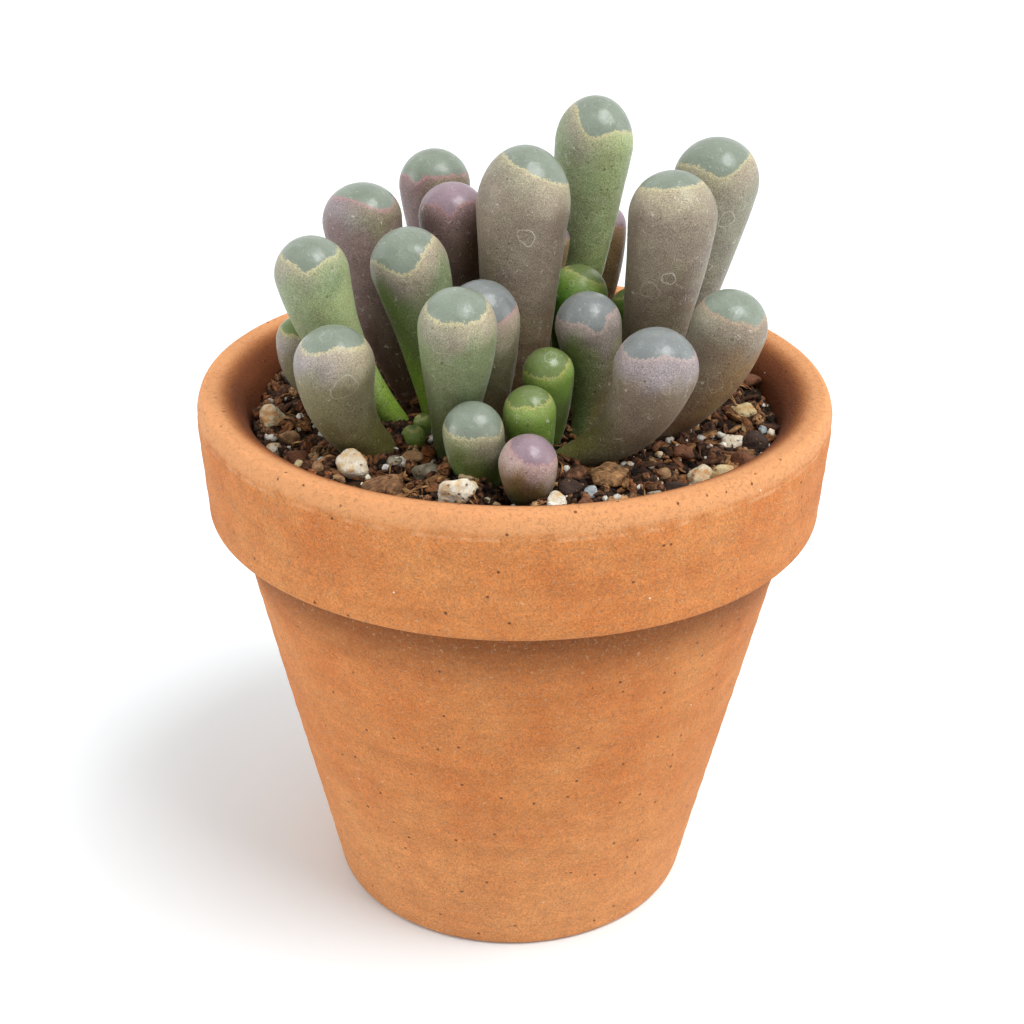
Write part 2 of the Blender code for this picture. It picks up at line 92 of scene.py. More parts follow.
# Each leaf: its head, its root in the soil, the point that bends it, its shoulder (mm), its radii
# at the shoulder and the soil, the tip's height as a share of its radius, and the taper's power.
# Then its tissues: window, fringe, the left side's skin from top to foot, and the right side's.
# Then where its window ends: level mm from the tip, lean mm further down at the right than in the
# middle, and dip mm at a turn of at degrees, over spread degrees to each side.
LEAVES = {
    "front_left": ("left", (-13.2, -11.5), (-17, -13.5, 58), (-16.8, -15, 64.8), 3.85, 1.9, 1.0, 1.2,
        "glass cream lilac drab olive beige drab olive", (3.4, 0, -1.4, 18, 50)),
    "left_tall": ("left", (-11.5, -5.5), (-18, -6.6, 62), (-19.4, -8, 71.5), 3.55, 1.15, 1.0, 1.2,
        "glass cream stone sage leaf sage pale vivid", (3.0, 0.4, 0.8, 5, 20)),
    "far_left": ("left", (-18, 0), (-22, -2.5, 58.5), (-21.4, -2.8, 62.7), 2.6, 1.4, 1.0, 1.2,
        "green_glass straw mauve drab olive mauve drab olive", (2.7, 0, -0.2, -10, 30)),
    "purple_left": ("left", (-10.5, 1), (-14.1, 1.6, 64.4), (-15.5, 3.6, 73.2), 4.05, 1.35, 0.95, 1.2,
        "glass rose lilac dusk umber drab dusk umber", (3.3, 0.5, 1.6, 42, 38)),
    "centre_left": ("left", (-8, -4), (-8.3, -3.4, 63), (-10.35, -3.7, 70.8), 3.9, 1.2, 1.0, 1.2,
        "glass cream mauve moss vivid beige sage leaf", (3.8, -0.3, 1.6, 2, 30)),
    "bud_low": ("left", (-9.9, -10.3), (-9.9, -10.4, 55), (-9.9, -10.4, 55.6), 1.25, 1.1, 1.0, 1.2,
        "green_glass straw leaf leaf deep leaf leaf leaf", (0.5, 0, 0.2, 0, 40)),
    "bud_high": ("left", (-9.2, -7.5), (-9.1, -8.1, 55.5), (-9.1, -8.1, 56.2), 0.9, 0.85, 1.0, 1.2,
        "green_glass straw leaf leaf deep leaf leaf deep", (0.4, 0, 0.1, 0, 40)),
    "front_centre": ("front", (-6.5, -10.7), (-5.5, -12.7, 60.6), (-5.3, -15.5, 68.8), 3.7, 1.4, 1.05, 1.4,
        "glass cream stone sage moss beige sage moss", (3.2, -0.1, -0.3, 0, 40)),
    "stub_grey": ("front", (-3.1, -16.2), (-3.7, -18, 57), (-3.8, -18.5, 59.75), 2.9, 2.4, 1.0, 1.5,
        "glass cream sage moss leaf stone moss leaf", (3.4, 0, 0.5, 55, 15)),
    "stub_pink": ("front", (1.4, -19.9), (1.4, -21.3, 56), (1.3, -21.8, 58.1), 2.75, 2.1, 1.0, 1.3,
        "pink_glass rose blush tan olive blush tan olive", (2.4, 0.8, 0, 0, 20)),
    "green_front": ("front", (1.5, -14.5), (1.6, -15.4, 57.5), (1.4, -16.3, 60.9), 2.5, 1.9, 1.0, 1.2,
        "green_glass straw leaf leaf deep leaf leaf deep", (2.4, 0, -0.6, 10, 70)),
    "green_mid": ("front", (3, -9.5), (3.5, -10.6, 58), (3.2, -11.3, 62.8), 2.5, 1.4, 1.0, 1.2,
        "green_glass straw leaf leaf deep leaf moss leaf", (2.7, -0.4, 0.4, 20, 35)),
    "front_right": ("front", (5, -13), (12, -14, 57), (13, -16.2, 65.2), 3.95, 1.15, 1.0, 1.1,
        "blue_glass blush lilac taupe olive lilac taupe drab", (3.9, -0.2, -1.5, 5, 50)),
    "pink_band": ("centre", (-3, -5.3), (-2.9, -6.5, 60), (-3.2, -7.45, 66.7), 3.65, 1.8, 1.1, 1.4,
        "blue_glass rose beige drab tan beige drab tan", (4.5, -0.2, 0.5, 5, 30)),
    "mid_right": ("centre", (7, -7.5), (8.5, -6, 58.5), (7.1, -6.5, 66), 3.25, 1.5, 1.0, 1.2,
        "blue_glass blush mauve moss moss mauve drab tan", (3.5, 0.1, 1.3, 18, 16)),
    "big_centre": ("centre", (0.5, 0.3), (-0.1, -0.6, 63), (0.7, 0.5, 75.6), 4.72, 2.6, 1.3, 1.0,
        "glass cream stone taupe tan beige taupe tan", (4.1, 1.6, 0, 0, 20)),
    "mid_purple": ("centre", (-4.5, 6), (-6, 5, 63), (-6.5, 6.2, 73), 3.5, 1.6, 1.0, 1.2,
        "pink_glass rose dusk dusk umber dusk umber umber", (3.6, -0.2, 1.2, -2, 14)),
    "green_back": ("centre", (6, 6), (6.5, 3.5, 60.5), (6.4, 4, 65.4), 3.2, 1.6, 1.0, 1.2,
        "green_glass straw leaf deep deep leaf leaf deep", (2.3, 1.3, -0.5, 0, 30)),
    "behind_centre": ("centre", (1.5, 8.3), (2.8, 8.2, 64.5), (3.5, 8.1, 70), 2.1, 1.4, 1.0, 1.2,
        "pink_glass peach tan tan umber tan tan umber", (2.6, 0, 0.2, 0, 40)),
    "right_large": ("right", (13, 1.5), (14.7, -1, 66.5), (15.4, 0, 75), 4.35, 2.2, 1.04, 1.3,
        "glass cream beige taupe drab beige taupe drab", (3.3, -0.8, 0, 0, 20)),
    "right_low": ("right", (12, -7.5), (19, -8.2, 59.3), (20.5, -9, 66.7), 3.75, 2.0, 1.0, 1.1,
        "glass peach stone taupe tan taupe tan umber", (3.5, -0.1, 0.4, 35, 15)),
    "right_back": ("right", (17, 10), (18.5, 7.5, 67), (20.6, 9, 76.2), 4.45, 1.8, 1.0, 1.1,
        "glass cream stone stone lilac beige stone lilac", (4.4, -1.7, 1.7, -3, 28)),
    "green_small": ("right", (11.3, 8), (12.4, 6, 58.5), (12.4, 7.3, 62.6), 2.5, 1.3, 1.0, 1.2,
        "green_glass straw deep deep deep deep deep deep", (2.4, 0, 0.3, 20, 20)),
    "back_tallest": ("rear", (5.5, 13), (7.0, 12.2, 68.5), (8.0, 12.6, 79), 4.15, 1.55, 1.2, 1.1,
        "glass cream stone sage vivid pale pale vivid", (4.0, 1.3, 1.9, -10, 28)),
    "back_small": ("rear", (7.5, 19), (10, 17, 62.5), (9.6, 18, 68.6), 2.5, 1.4, 1.0, 1.2,
        "pink_glass rose tan tan umber tan tan umber", (3.4, 0.5, 0, 0, 20)),
    "back_purple": ("rear", (-5, 13), (-8, 13, 63), (-8.7, 14.5, 74.0), 3.75, 1.7, 1.02, 1.2,
        "glass rose dusk dusk umber drab dusk umber", (4.5, 0.2, 0.8, -30, 12)),
    "rear_left": ("rear", (-9, 15.5), (-14, 13, 60.5), (-15, 14, 65.5), 2.8, 1.4, 1.0, 1.2,
        "glass cream mauve drab olive stone sage moss", (3.1, 0, 0.3, 180, 40)),
    "rear_middle": ("rear", (0.5, 17.5), (0.5, 15.5, 63), (-0.5, 17, 68), 3.2, 1.6, 1.1, 1.2,
        "pink_glass rose dusk dusk umber lilac dusk umber", (3.7, 0, 0.5, 170, 30)),
    "rear_edge": ("rear", (-4.5, 19.5), (-6, 19.5, 59.5), (-6.5, 21, 63.5), 2.7, 1.4, 1.0, 1.2,
        "glass cream stone sage moss beige sage moss", (3.0, 0.2, 0.3, 180, 30)),
    "rear_low": ("rear", (3.5, 21.5), (4.5, 20, 58.5), (4.5, 21, 61.5), 2.4, 1.4, 1.0, 1.2,
        "green_glass straw leaf moss deep leaf leaf deep", (2.4, 0, 0.2, 160, 40)),
    "rear_right": ("right", (14.5, 14.5), (15.5, 14.5, 61.5), (16, 16, 67.5), 3.2, 1.5, 1.0, 1.2,
        "glass cream mauve drab olive sage drab olive", (3.6, -0.3, 0.8, 170, 25)),
}

GREEN_LEAVES = ("bud_low", "bud_high", "green_front", "green_mid", "green_back", "green_small", "rear_low")
PURPLE_LEAVES = ("purple_left", "stub_pink", "pink_band", "mid_purple", "back_purple", "rear_middle")

# Tissues of the plant: clear windows, the fringes round them, and skins
TISSUES = {
    "glass": "7a8476", "green_glass": "64753f", "blue_glass": "767b7a", "pink_glass": "8c7780",
    "cream": "c6bc92", "straw": "b2a968", "peach": "b39880", "rose": "ac8284", "blush": "b09a92",
    "mauve": "857c74", "lilac": "8c8284", "stone": "888471", "beige": "9c917c", "taupe": "847766",
    "dusk": "7c6662", "drab": "7b775a", "sage": "818d68", "moss": "637442", "pale": "a3b07e",
    "leaf": "708e3c", "vivid": "92b244", "deep": "4e7822", "olive": "6c6838", "tan": "8b7250",
    "umber": "5c4736",
}

# Healed rings on the skin: turn in degrees, mm from the tip, radius in mm and strength
SCARS = {
    "front_left": ((20, 6, 1.2, 0.6), (-40, 1, 0.6, 0.4)),
    "big_centre": ((5, 10.5, 0.8, 0.9), (-40, 11, 0.5, 0.2), (35, 12.5, 0.6, 0.4), (40, 15, 0.5, 0.2)),
    "right_back": ((20, 10, 0.8, 0.7), (40, 8.5, 0.4, 0.3), (150, 9, 0.6, 0.4)),
    "right_large": ((0, 12, 0.6, 0.9), (50, 10, 0.5, 0.4), (-25, 13.5, 0.9, 0.3), (170, 8, 0.7, 0.4)),
    "back_tallest": ((10, 14, 0.5, 0.6), (165, 9.5, 0.7, 0.4)),
    "front_right": ((-20, 9, 0.8, 0.3), (10, 5.5, 0.5, 0.3)),
    "right_low": ((5, 10.5, 0.8, 0.4),),
    "purple_left": ((-15, 9.5, 0.5, 0.2), (-140, 8, 0.6, 0.3)),
    "centre_left": ((0, 7, 0.3, 0.4), (15, 1.5, 0.3, 0.3)),
    "front_centre": ((10, 5, 0.5, 0.4), (-10, 7, 0.3, 0.3)),
    "green_mid": ((20, 1, 0.6, 0.6),),
    "green_front": ((55, 2, 0.5, 0.4),),
    "left_tall": ((-30, 6.5, 0.4, 0.3), (-120, 7, 0.6, 0.3)),
    "green_back": ((-15, 3, 0.3, 0.5),),
    "stub_pink": ((65, 3, 0.5, 0.3),),
    "rear_right": ((150, 6, 0.6, 0.4),),
    "rear_left": ((-160, 5.5, 0.5, 0.4),),
}

# The stones that stand out of the soil: tone, place and width in mm
STONES = (
    ("white", -15, -18, 3.5), ("tan", -10, -13.5, 2), ("rust", -8.5, -12, 2), ("grey", -8, -16.5, 3),
    ("grey", -11.5, -14.5, 1.5), ("cream", -4, -19.5, 2), ("cream", -4, -22, 1.5), ("white", -5.5, -24, 3.5),
    ("tan", -18.5, -17.5, 1.5), ("tan", -16.5, -19.5, 1.2), ("cream", -20.5, -16, 1.2),
    ("brown", -21, -14.5, 2),
    ("white", -23.5, -11.5, 2), ("blue", -18.5, -15, 1), ("white", -11, -23, 1), ("white", -9, -23.5, 1),
    ("white", -1.5, -25.5, 1), ("white", 0.5, -25.5, 1), ("white", -1.5, -22.5, 1), ("dark", 5, -21, 2.5),
    ("blue", 7, -22, 1.5), ("white", 9, -22.5, 1), ("white", 4, -24.5, 2), ("brown", 6.5, -24.5, 2),
    ("tan", 9, -23.5, 2), ("brown", 11.5, -23, 2), ("tan", 14, -17.5, 1.5), ("grey", 13, -21, 1.5),
    ("dark", 15, -20, 2), ("stained", 17.5, -16.5, 3), ("white", 16.5, -20, 1.2), ("cream", 20, -16.5, 2.5),
    ("brown", 22, -14, 2.5), ("white", 22, -8, 2), ("tan", 22.5, -10.5, 1.2), ("dark", 24, -8.5, 3),
    ("blue", 25, -5.5, 1), ("white", 14, -13, 1), ("white", 11, -16.5, 1), ("brown", 16.5, -12.5, 2),
    ("stained", -24.5, -6, 3), ("tan", -22.5, -9, 2), ("cream", 23.5, -1.5, 2.5), ("white", 21.5, 15.5, 2.5),
    ("stained", -17, 19.5, 3), ("grey", -24, 7.5, 2.5), ("white", -10.5, 24, 2.5), ("tan", 10.5, 24, 3),
    ("brown", 25, 6.5, 2.5), ("cream", 1.5, 25, 2.5), ("dark", -20.5, 13.5, 2.5),
)

# Bark chips: place, length, width and thickness in mm, the turn in degrees
CHIPS = (
    (-12, -20.5, 4.5, 3.2, 2.2, 35), (9, -19, 3.5, 3, 2, -25), (6, -18, 3, 2, 1.5, 60),
    (22.5, -12, 3, 1.2, 1, 40), (-1.5, -23.5, 3, 1.2, 0.8, 15), (-19, -12.5, 2.5, 1.5, 0.8, 80),
    (-22, 3.5, 4, 2, 1, 100), (18.5, 19, 4.5, 2.5, 1.2, 140), (-13.5, 22, 3.5, 2.5, 1.2, 30),
    (24, 11, 3, 2, 1, 75), (4, 24.5, 3, 2, 1, 10),
)

# How the tones of the stones look: their own colour and the stain on them
TONES = {
    "white": ("e8dfcb", "cfa468"),
    "cream": ("dec99c", "b98a4c"),
    "stained": ("e2d4b6", "c4843a"),
    "grey": ("aaa18d", "7a6c55"),
    "blue": ("bcc3c6", "8f989c"),
    "tan": ("b08a62", "7c563a"),
    "brown": ("7f5238", "4f2f20"),
    "rust": ("a2602f", "63351c"),
    "dark": ("46332a", "2a1c16"),
}


def linear(codes):
    """Turns sRGB hex colours, parted by spaces, into rows of linear red, green and blue."""
    parts = np.array([[int(code[i : i + 2], 16) for i in (0, 2, 4)] for code in codes.split()]) / 255
    return np.where(parts <= 0.04045, parts / 12.92, ((parts + 0.055) / 1.055) ** 2.4)


def shade(code):
    """One sRGB hex colour as the linear red, green, blue and alpha of a shader's socket."""
    return (*linear(code)[0], 1)


def unit(vectors):
    """The same vectors with length 1."""
    return vectors / np.linalg.norm(vectors, axis=-1, keepdims=True)


def ease(value, low, high):
    """0 below low, 1 above high, and the smooth step 3x^2 - 2x^3 between them."""
    x = np.clip((value - low) / (high - low), 0, 1)
    return x * x * (3 - 2 * x)


def add(tree, kind, out=0, inputs=None, **settings):
    """Adds one shader node with its settings and inputs, which are values or other nodes' outputs."""
    made = tree.nodes.new("ShaderNode" + kind)
    for key, value in settings.items():
        setattr(made, key, value)
    for key, value in (inputs or {}).items():
        if isinstance(value, bpy.types.NodeSocket):
            tree.links.new(value, made.inputs[key])
        else:
            made.inputs[key].default_value = value
    return made.outputs[out]


def maths(tree, work, *values):
    """A Math node that does the named work on its values."""
    return add(tree, "Math", inputs=dict(enumerate(values)), operation=work)


def vector(tree, work, *values):
    """A Vector Math node that does the named work on its vectors."""
    return add(tree, "VectorMath", inputs=dict(enumerate(values)), operation=work)


def span(tree, value, low, high, first, last, smooth=False):
    """Runs from first to last while the value runs from low to high, and stays there outside."""
    kind = "SMOOTHSTEP" if smooth else "LINEAR"
    ends = dict(enumerate((value, low, high, first, last)))
    return add(tree, "MapRange", inputs=ends, interpolation_type=kind)


def noise(tree, at, scale, detail, roughness=0.5, bend=0.0):
    """Cloudy noise about 0.5, with scale clouds a mm."""
    return add(tree, "TexNoise", "Fac", {
        "Vector": at, "Scale": scale, "Detail": detail, "Roughness": roughness, "Distortion": bend})


def cells(tree, at, scale):
    """The distance to the nearest of scattered points, with scale points a mm."""
    return add(tree, "TexVoronoi", "Distance", {"Vector": at, "Scale": scale})


def threads(tree, at, scale, narrow, wide):
    """Fine curved threads, 1 inside and 0 outside, where a wavy noise crosses its middle."""
    off = maths(tree, "SUBTRACT", noise(tree, at, scale, 1.0, bend=1.0), 0.5)
    return span(tree, maths(tree, "ABSOLUTE", off), narrow, wide, 1.0, 0.0)


def mark(tree, name, kind="Fac"):
    """One of the marks that a piece's points carry, as a number or a colour."""
    return add(tree, "Attribute", kind, attribute_name=name)


def mix(tree, share, colour, other):
    """Turns a colour into another by a share. Each is a node's output or an sRGB hex colour."""
    colour, other = (shade(tone) if isinstance(tone, str) else tone for tone in (colour, other))
    return add(tree, "Mix", 2, {0: share, 6: colour, 7: other}, data_type="RGBA")


def valued(tree, colour, value, hue=0.5):
    """A colour with its value multiplied, and its hue turned where that isn't 0.5."""
    return add(tree, "HueSaturation", inputs={"Hue": hue, "Value": value, "Color": colour})


def bump(tree, height, strength, depth, under=None):
    """The normal of a relief that is depth mm deep, on top of another normal where there is one."""
    inputs = {"Strength": strength, "Distance": depth * MM, "Height": height}
    if under:
        inputs["Normal"] = under
    return add(tree, "Bump", "Normal", inputs)


def start(name, **values):
    """A new material with its shader's uniform values: itself, its node tree and places in mm."""
    made = bpy.data.materials.new(name)
    made.use_nodes = True
    tree = made.node_tree
    shader = tree.nodes["Principled BSDF"]
    for key, value in values.items():
        shader.inputs[key.replace("_", " ")].default_value = value
    place = add(tree, "TexCoord", "Object")
    mm = add(tree, "VectorMath", inputs={0: place, 3: 1 / MM}, operation="SCALE")
    return made, tree, mm


def dressed(made, **outputs):
    """The material, with nodes' outputs led to its shader's sockets."""
    for key, output in outputs.items():
        shader = made.node_tree.nodes["Principled BSDF"]
        made.node_tree.links.new(output, shader.inputs[key.replace("_", " ")])
    return made


def put(name, points, faces, finish, slot, stands_for=(), **marks):
    """Makes a piece from points in mm and faces, with its marks, one number or colour a point."""
    mesh = bpy.data.meshes.new(name)
    mesh.from_pydata((points * MM).tolist(), [], faces)
    mesh.polygons.foreach_set("use_smooth", np.ones(len(mesh.polygons), bool))
    for label, values in marks.items():
        if values.ndim == 1:
            kind, key, flat = "FLOAT", "value", values
        else:
            kind, key, flat = "FLOAT_COLOR", "color", np.insert(values, 3, 1, axis=1).ravel()
        mesh.attributes.new(label, kind, "POINT").data.foreach_set(key, flat.astype(np.float32))
    mesh.materials.append(finish)
    mesh.update()
    piece = bpy.data.objects.new(name, mesh)
    bpy.context.scene.collection.objects.link(piece)
    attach(piece, "root")
    if stands_for:
        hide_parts(*stands_for)


def skin_faces(rows, around, looped=False):
    """Quads of a grid of rows closed around, and the fans that close its ends, whose two poles
    follow the grid's points. Looped, the last row joins the first instead."""
    k = np.arange(rows * around).reshape(rows, around)
    upper = k if looped else k[:-1]
    lower = np.roll(k, -1, 0) if looped else k[1:]
    quads = np.stack([upper, lower, np.roll(lower, -1, 1), np.roll(upper, -1, 1)], -1).reshape(-1, 4)
    if looped:
        return quads, np.zeros((0, 3), int)
    first, last = rows * around, rows * around + 1
    top = np.stack([np.full(around, first), k[0], np.roll(k[0], -1)], -1)
    foot = np.stack([np.full(around, last), np.roll(k[-1], -1), k[-1]], -1)
    return quads, np.concatenate([top, foot])


def face_list(quads, triangles):
    """Quads and triangles as one list of faces."""
    return quads.tolist() + triangles.tolist()


def with_poles(grid):
    """A grid's values, flattened, with the mean of its first and of its last row for the poles."""
    flat = grid.reshape(-1, *grid.shape[2:])
    return np.concatenate([flat, grid[:1].mean(1), grid[-1:].mean(1)])


# The leaves


def leaf_shape(name):
    """A leaf's skin: rings of points, arc lengths from the tip, turns, midline, radii, the tip, and
    the arc length at the soil, in mm.

    Above the soil the midline is the quadratic curve of root, bend and shoulder, and the radius
    runs from girth to stalk with the power taper of the share of length. The tip is half an
    ellipsoid. In the soil the midline is a cubic curve to the crown and the radius a thin neck.
    Each ring stands square to the midline, and low waves keep it from being quite round."""
    head, root, bend, shoulder, girth, stalk, dome, taper = LEAVES[name][:8]
    rows, around = (int(least + girth * more) for least, more in (LEAF_RINGS, LEAF_SIDES))
    root, bend, shoulder = np.array((*root, SOIL_HEIGHT)), np.array(bend), np.array(shoulder)
    tip_way = unit(shoulder - bend)
    top = shoulder + tip_way * girth * dome

    lift = np.linspace(math.pi / 2, 0, rows + 1)[1:, None]
    tip = shoulder + tip_way * np.sin(lift) * girth * dome

    t = np.linspace(1, 0, 2 * rows + 1)[1:, None]
    stem = root * (1 - t) ** 2 + bend * 2 * t * (1 - t) + shoulder * t**2
    stem_way = unit((bend - root) * (1 - t) + (shoulder - bend) * t)
    run = np.cumsum(np.linalg.norm(np.diff(np.vstack([shoulder, stem]), axis=0), axis=1))

    u = np.linspace(1, 0, 7)[1:, None]
    base = root + (np.array((*HEADS[head], SOIL_HEIGHT)) - root) * 0.22
    base[2] = NECK_FOOT
    low, high = base + (0, 0, 1.5), root - unit(bend - root) * 1.2
    neck = base * (1 - u) ** 3 + low * 3 * u * (1 - u) ** 2 + high * 3 * u * u * (1 - u) + root * u**3
    neck_way = unit(
        (low - base) * (1 - u) ** 2 + (high - low) * 2 * u * (1 - u) + (root - high) * u * u)

    middle = np.vstack([tip, stem, neck])
    way = np.vstack([np.repeat(tip_way[None], rows, 0), stem_way, neck_way])
    radius = np.concatenate([
        girth * np.cos(lift[:, 0]),
        girth + (stalk - girth) * (run / run[-1]) ** taper,
        stalk * (0.72 + 0.28 * u[:, 0]),
    ])
    arc = np.cumsum(np.hypot(
        np.linalg.norm(np.diff(np.vstack([top, middle]), axis=0), axis=1),
        np.diff(np.concatenate([[0], radius])),
    ))[:, None]

    turn = np.linspace(-180, 180, around, endpoint=False)[None]
    angle = np.radians(turn)
    wave = np.array([ord(c) for c in name]).sum()
    swell = (
        0.05 * np.sin(2 * angle + wave + 0.25 * arc)
        + 0.03 * np.sin(3 * angle + 2 * wave - 0.45 * arc)
        + 0.015 * np.sin(5 * angle - wave + 0.9 * arc)
    ) * radius[:, None] / 4
    side = unit(np.cross((0, 1, 0), way))[:, None]
    front = np.cross(way[:, None], side)
    out = side * np.sin(angle)[..., None] - front * np.cos(angle)[..., None]
    rings = middle[:, None] + out * (radius[:, None] + swell)[..., None]
    return rings, arc, turn, middle, radius, top, arc[3 * rows - 1, 0]


def border_at(name, turn):
    """How far from the tip the window ends at each turn: a level line, leaned with the sine of the
    turn, with one bell-shaped dip in it."""
    level, lean, dip, at, spread = LEAVES[name][9]
    away = (turn - at + 180) % 360 - 180
    return level + lean * np.sin(np.radians(turn)) + dip * np.exp(-((away / spread) ** 2))


def make_leaf(name, finish, slot):
    """One leaf with its marks: edge is the distance past its window's border, scar the distance
    outside its nearest healed ring, and window, fringe and body are its own colours.

    The body blends from top to middle skin over 1 to 4 mm past the border, from middle to foot
    over 0.4 to 0.92 of its length, and from left to right with the sine of the turn. Slow waves bend
    the blends."""
    rings, arc, turn, _, radius, tip, soil_arc = leaf_shape(name)
    border = border_at(name, turn)
    edge = arc - border
    window, fringe, *skins = linear(" ".join(TISSUES[tissue] for tissue in LEAVES[name][8].split()))
    right = ease(np.sin(np.radians(turn)), -0.7, 0.7)[..., None]
    top, waist, foot = (skins[k] + (skins[k + 3] - skins[k]) * right for k in range(3))
    length = soil_arc - border
    past = edge + 0.7 * np.sin(3 * np.radians(turn) + len(name)) + 0.4 * np.sin(7 * np.radians(turn) + arc)
    body = top + (waist - top) * ease(past, 0.8, np.minimum(4.2, 0.5 * length))[..., None]
    body = body + (foot - body) * ease(past / length, 0.4, 0.92)[..., None]

    scar, healed = np.full(edge.shape, 9.0), np.zeros(edge.shape)
    for centre, far, size, strength in SCARS.get(name, ()):
        across = np.radians((turn - centre + 180) % 360 - 180) * radius[:, None]
        along = arc - far
        way = np.arctan2(along, across)
        wander = 1 + 0.14 * np.cos(2 * way + centre)
        wander = wander + 0.1 * np.cos(3 * way + 5 * far) + 0.06 * np.cos(5 * way)
        gap = np.hypot(across, along) - size * wander
        healed = np.where(gap < scar, strength, healed)
        scar = np.minimum(scar, gap)

    points = np.concatenate([rings.reshape(-1, 3), tip[None], rings[-1:].mean(1)])
    marks = {
        "edge": edge, "scar": scar, "healed": healed, "body": body,
        "window": np.broadcast_to(window, body.shape), "fringe": np.broadcast_to(fringe, body.shape)}
    put(
        "leaf_skin_" + name, points, face_list(*skin_faces(*edge.shape)), finish, slot, ["leaf_" + name],
        **{label: with_poles(values) for label, values in marks.items()})


def leaf_finish(name, stipple, wax):
    """Succulent leaf skin, grown with a thin coat of wax: satin, finely stippled with pale and dark
    dots, with a smoother, glassy grey-green window at the tip inside a ragged cream fringe."""
    made, tree, mm = start(
        name, IOR=1.42, Subsurface_Weight=0.12, Subsurface_Radius=(1.0, 1.1, 0.6),
        Subsurface_Scale=0.001, Coat_Weight=wax, Coat_Roughness=0.24, Coat_IOR=1.45,
        Sheen_Weight=0.16, Sheen_Roughness=0.2)
    edge = mark(tree, "edge")
    scar = mark(tree, "scar")
    healed = mark(tree, "healed")
    body = mark(tree, "body", "Color")
    window = mark(tree, "window", "Color")
    fringe = mark(tree, "fringe", "Color")

    # The border's teeth are about 0.3 mm wide and 0.4 mm long
    teeth = noise(tree, mm, 2.8, 3.0, 0.7)
    jagged = maths(tree, "MULTIPLY_ADD", teeth, 1.4, edge)
    inside = span(tree, jagged, 0.6, 0.78, 1.0, 0.0, smooth=True)
    near = span(tree, jagged, 0.72, 1.3, 0.9, 0.0, smooth=True)
    glow = span(tree, jagged, 0.72, 2.6, 0.28, 0.0, smooth=True)

    # Stipple of 0.15 mm dots over mottles 2 to 4 mm wide
    dots = noise(tree, mm, 8.0, 1.0, 0.6)
    mottle = noise(tree, mm, 0.42, 3.0, 0.55)
    dots_value = span(tree, dots, 0.3, 0.7, 1 - stipple, 1 + stipple)
    mottle_value = span(tree, mottle, 0.3, 0.7, 0.89, 1.11)
    value = maths(tree, "MULTIPLY", dots_value, mottle_value)
    hue = span(tree, mottle, 0.3, 0.7, 0.488, 0.512)
    skin = valued(tree, body, value, hue)

    # Sunken dark pores, and raised pale ones, 0.2 mm across
    pore = span(tree, cells(tree, mm, 0.75), 0.06, 0.13, 0.6, 0.0)
    skin = mix(tree, pore, skin, "4a3a28")
    shifted = vector(tree, "ADD", mm, (31.0, 17.0, 5.0))
    grain = span(tree, cells(tree, shifted, 0.85), 0.03, 0.09, 0.35, 0.0)

    # Fine pale scratches, kept only in scattered places
    kept = span(tree, noise(tree, shifted, 1.3, 0.0), 0.6, 0.66, 0.0, 0.5)
    scratch = maths(tree, "MULTIPLY", threads(tree, shifted, 1.0, 0.004, 0.018), kept)

    # Healed rings: a pale line 0.15 mm wide, broken here and there
    ragged = maths(tree, "MULTIPLY_ADD", dots, 0.22, scar)
    line = maths(tree, "SUBTRACT", ragged, 0.11)
    line = maths(tree, "ABSOLUTE", line)
    line = span(tree, line, 0.02, 0.08, 0.65, 0.0)
    broken = span(tree, mottle, 0.35, 0.6, 0.4, 1.0)
    line = maths(tree, "MULTIPLY", line, broken)
    line = maths(tree, "MULTIPLY", line, healed)
    marks = maths(tree, "MAXIMUM", line, scratch)
    marks = maths(tree, "MAXIMUM", marks, grain)
    skin = mix(tree, marks, skin, "d8d2c4")

    # The fringe: granular cream next to the window, then a soft glow into the skin
    granular = span(tree, dots, 0.36, 0.58, 0.45, 1.0)
    band = maths(tree, "MAXIMUM", near, glow)
    band = maths(tree, "MULTIPLY", band, granular)
    skin = mix(tree, band, skin, fringe)

    # The window: clear tissue, so only soft clouds and a faint stipple
    clear_value = span(tree, dots, 0.3, 0.7, 0.9, 1.1)
    clear_value = maths(tree, "MULTIPLY", clear_value, mottle_value)
    clear = valued(tree, window, clear_value)
    faint = maths(tree, "MULTIPLY", marks, 0.5)
    clear = mix(tree, faint, clear, "d4dad2")
    colour = mix(tree, inside, skin, clear)

    rough = span(tree, inside, 0.0, 1.0, 0.45, 0.24)
    rough = maths(tree, "MULTIPLY_ADD", dots, 0.12, rough)
    relief = maths(tree, "MULTIPLY_ADD", marks, 0.8, dots)
    relief = maths(tree, "MULTIPLY_ADD", pore, -0.8, relief)
    firm = span(tree, inside, 0.0, 1.0, 0.8, 0.15)
    grained = bump(tree, relief, firm, 0.06)
    # Slight dents 1 to 2 mm wide break up the highlights
    dents = noise(tree, shifted, 0.6, 2.0)
    normal = bump(tree, dents, 0.6, 0.3, grained)
    return dressed(made, Base_Color=colour, Roughness=rough, Normal=normal)


# The pot


def rounded(before, corner, after, size):
    """The arc of radius size that rounds a corner. It touches both sides at size / tan(half the
    corner's angle) from the corner."""
    before, corner, after = np.array(before), np.array(corner), np.array(after)
    back, on = unit(before - corner), unit(after - corner)
    half = math.acos(np.clip(back @ on, -1, 1)) / 2
    centre = corner + unit(back + on) * size / math.sin(half)
    reach = size / math.tan(half)
    first, last = corner + back * reach - centre, corner + on * reach - centre
    sweep = math.pi - 2 * half
    t = np.linspace(0, 1, 5)[:, None]
    return centre + (first * np.sin((1 - t) * sweep) + last * np.sin(t * sweep)) / math.sin(sweep)


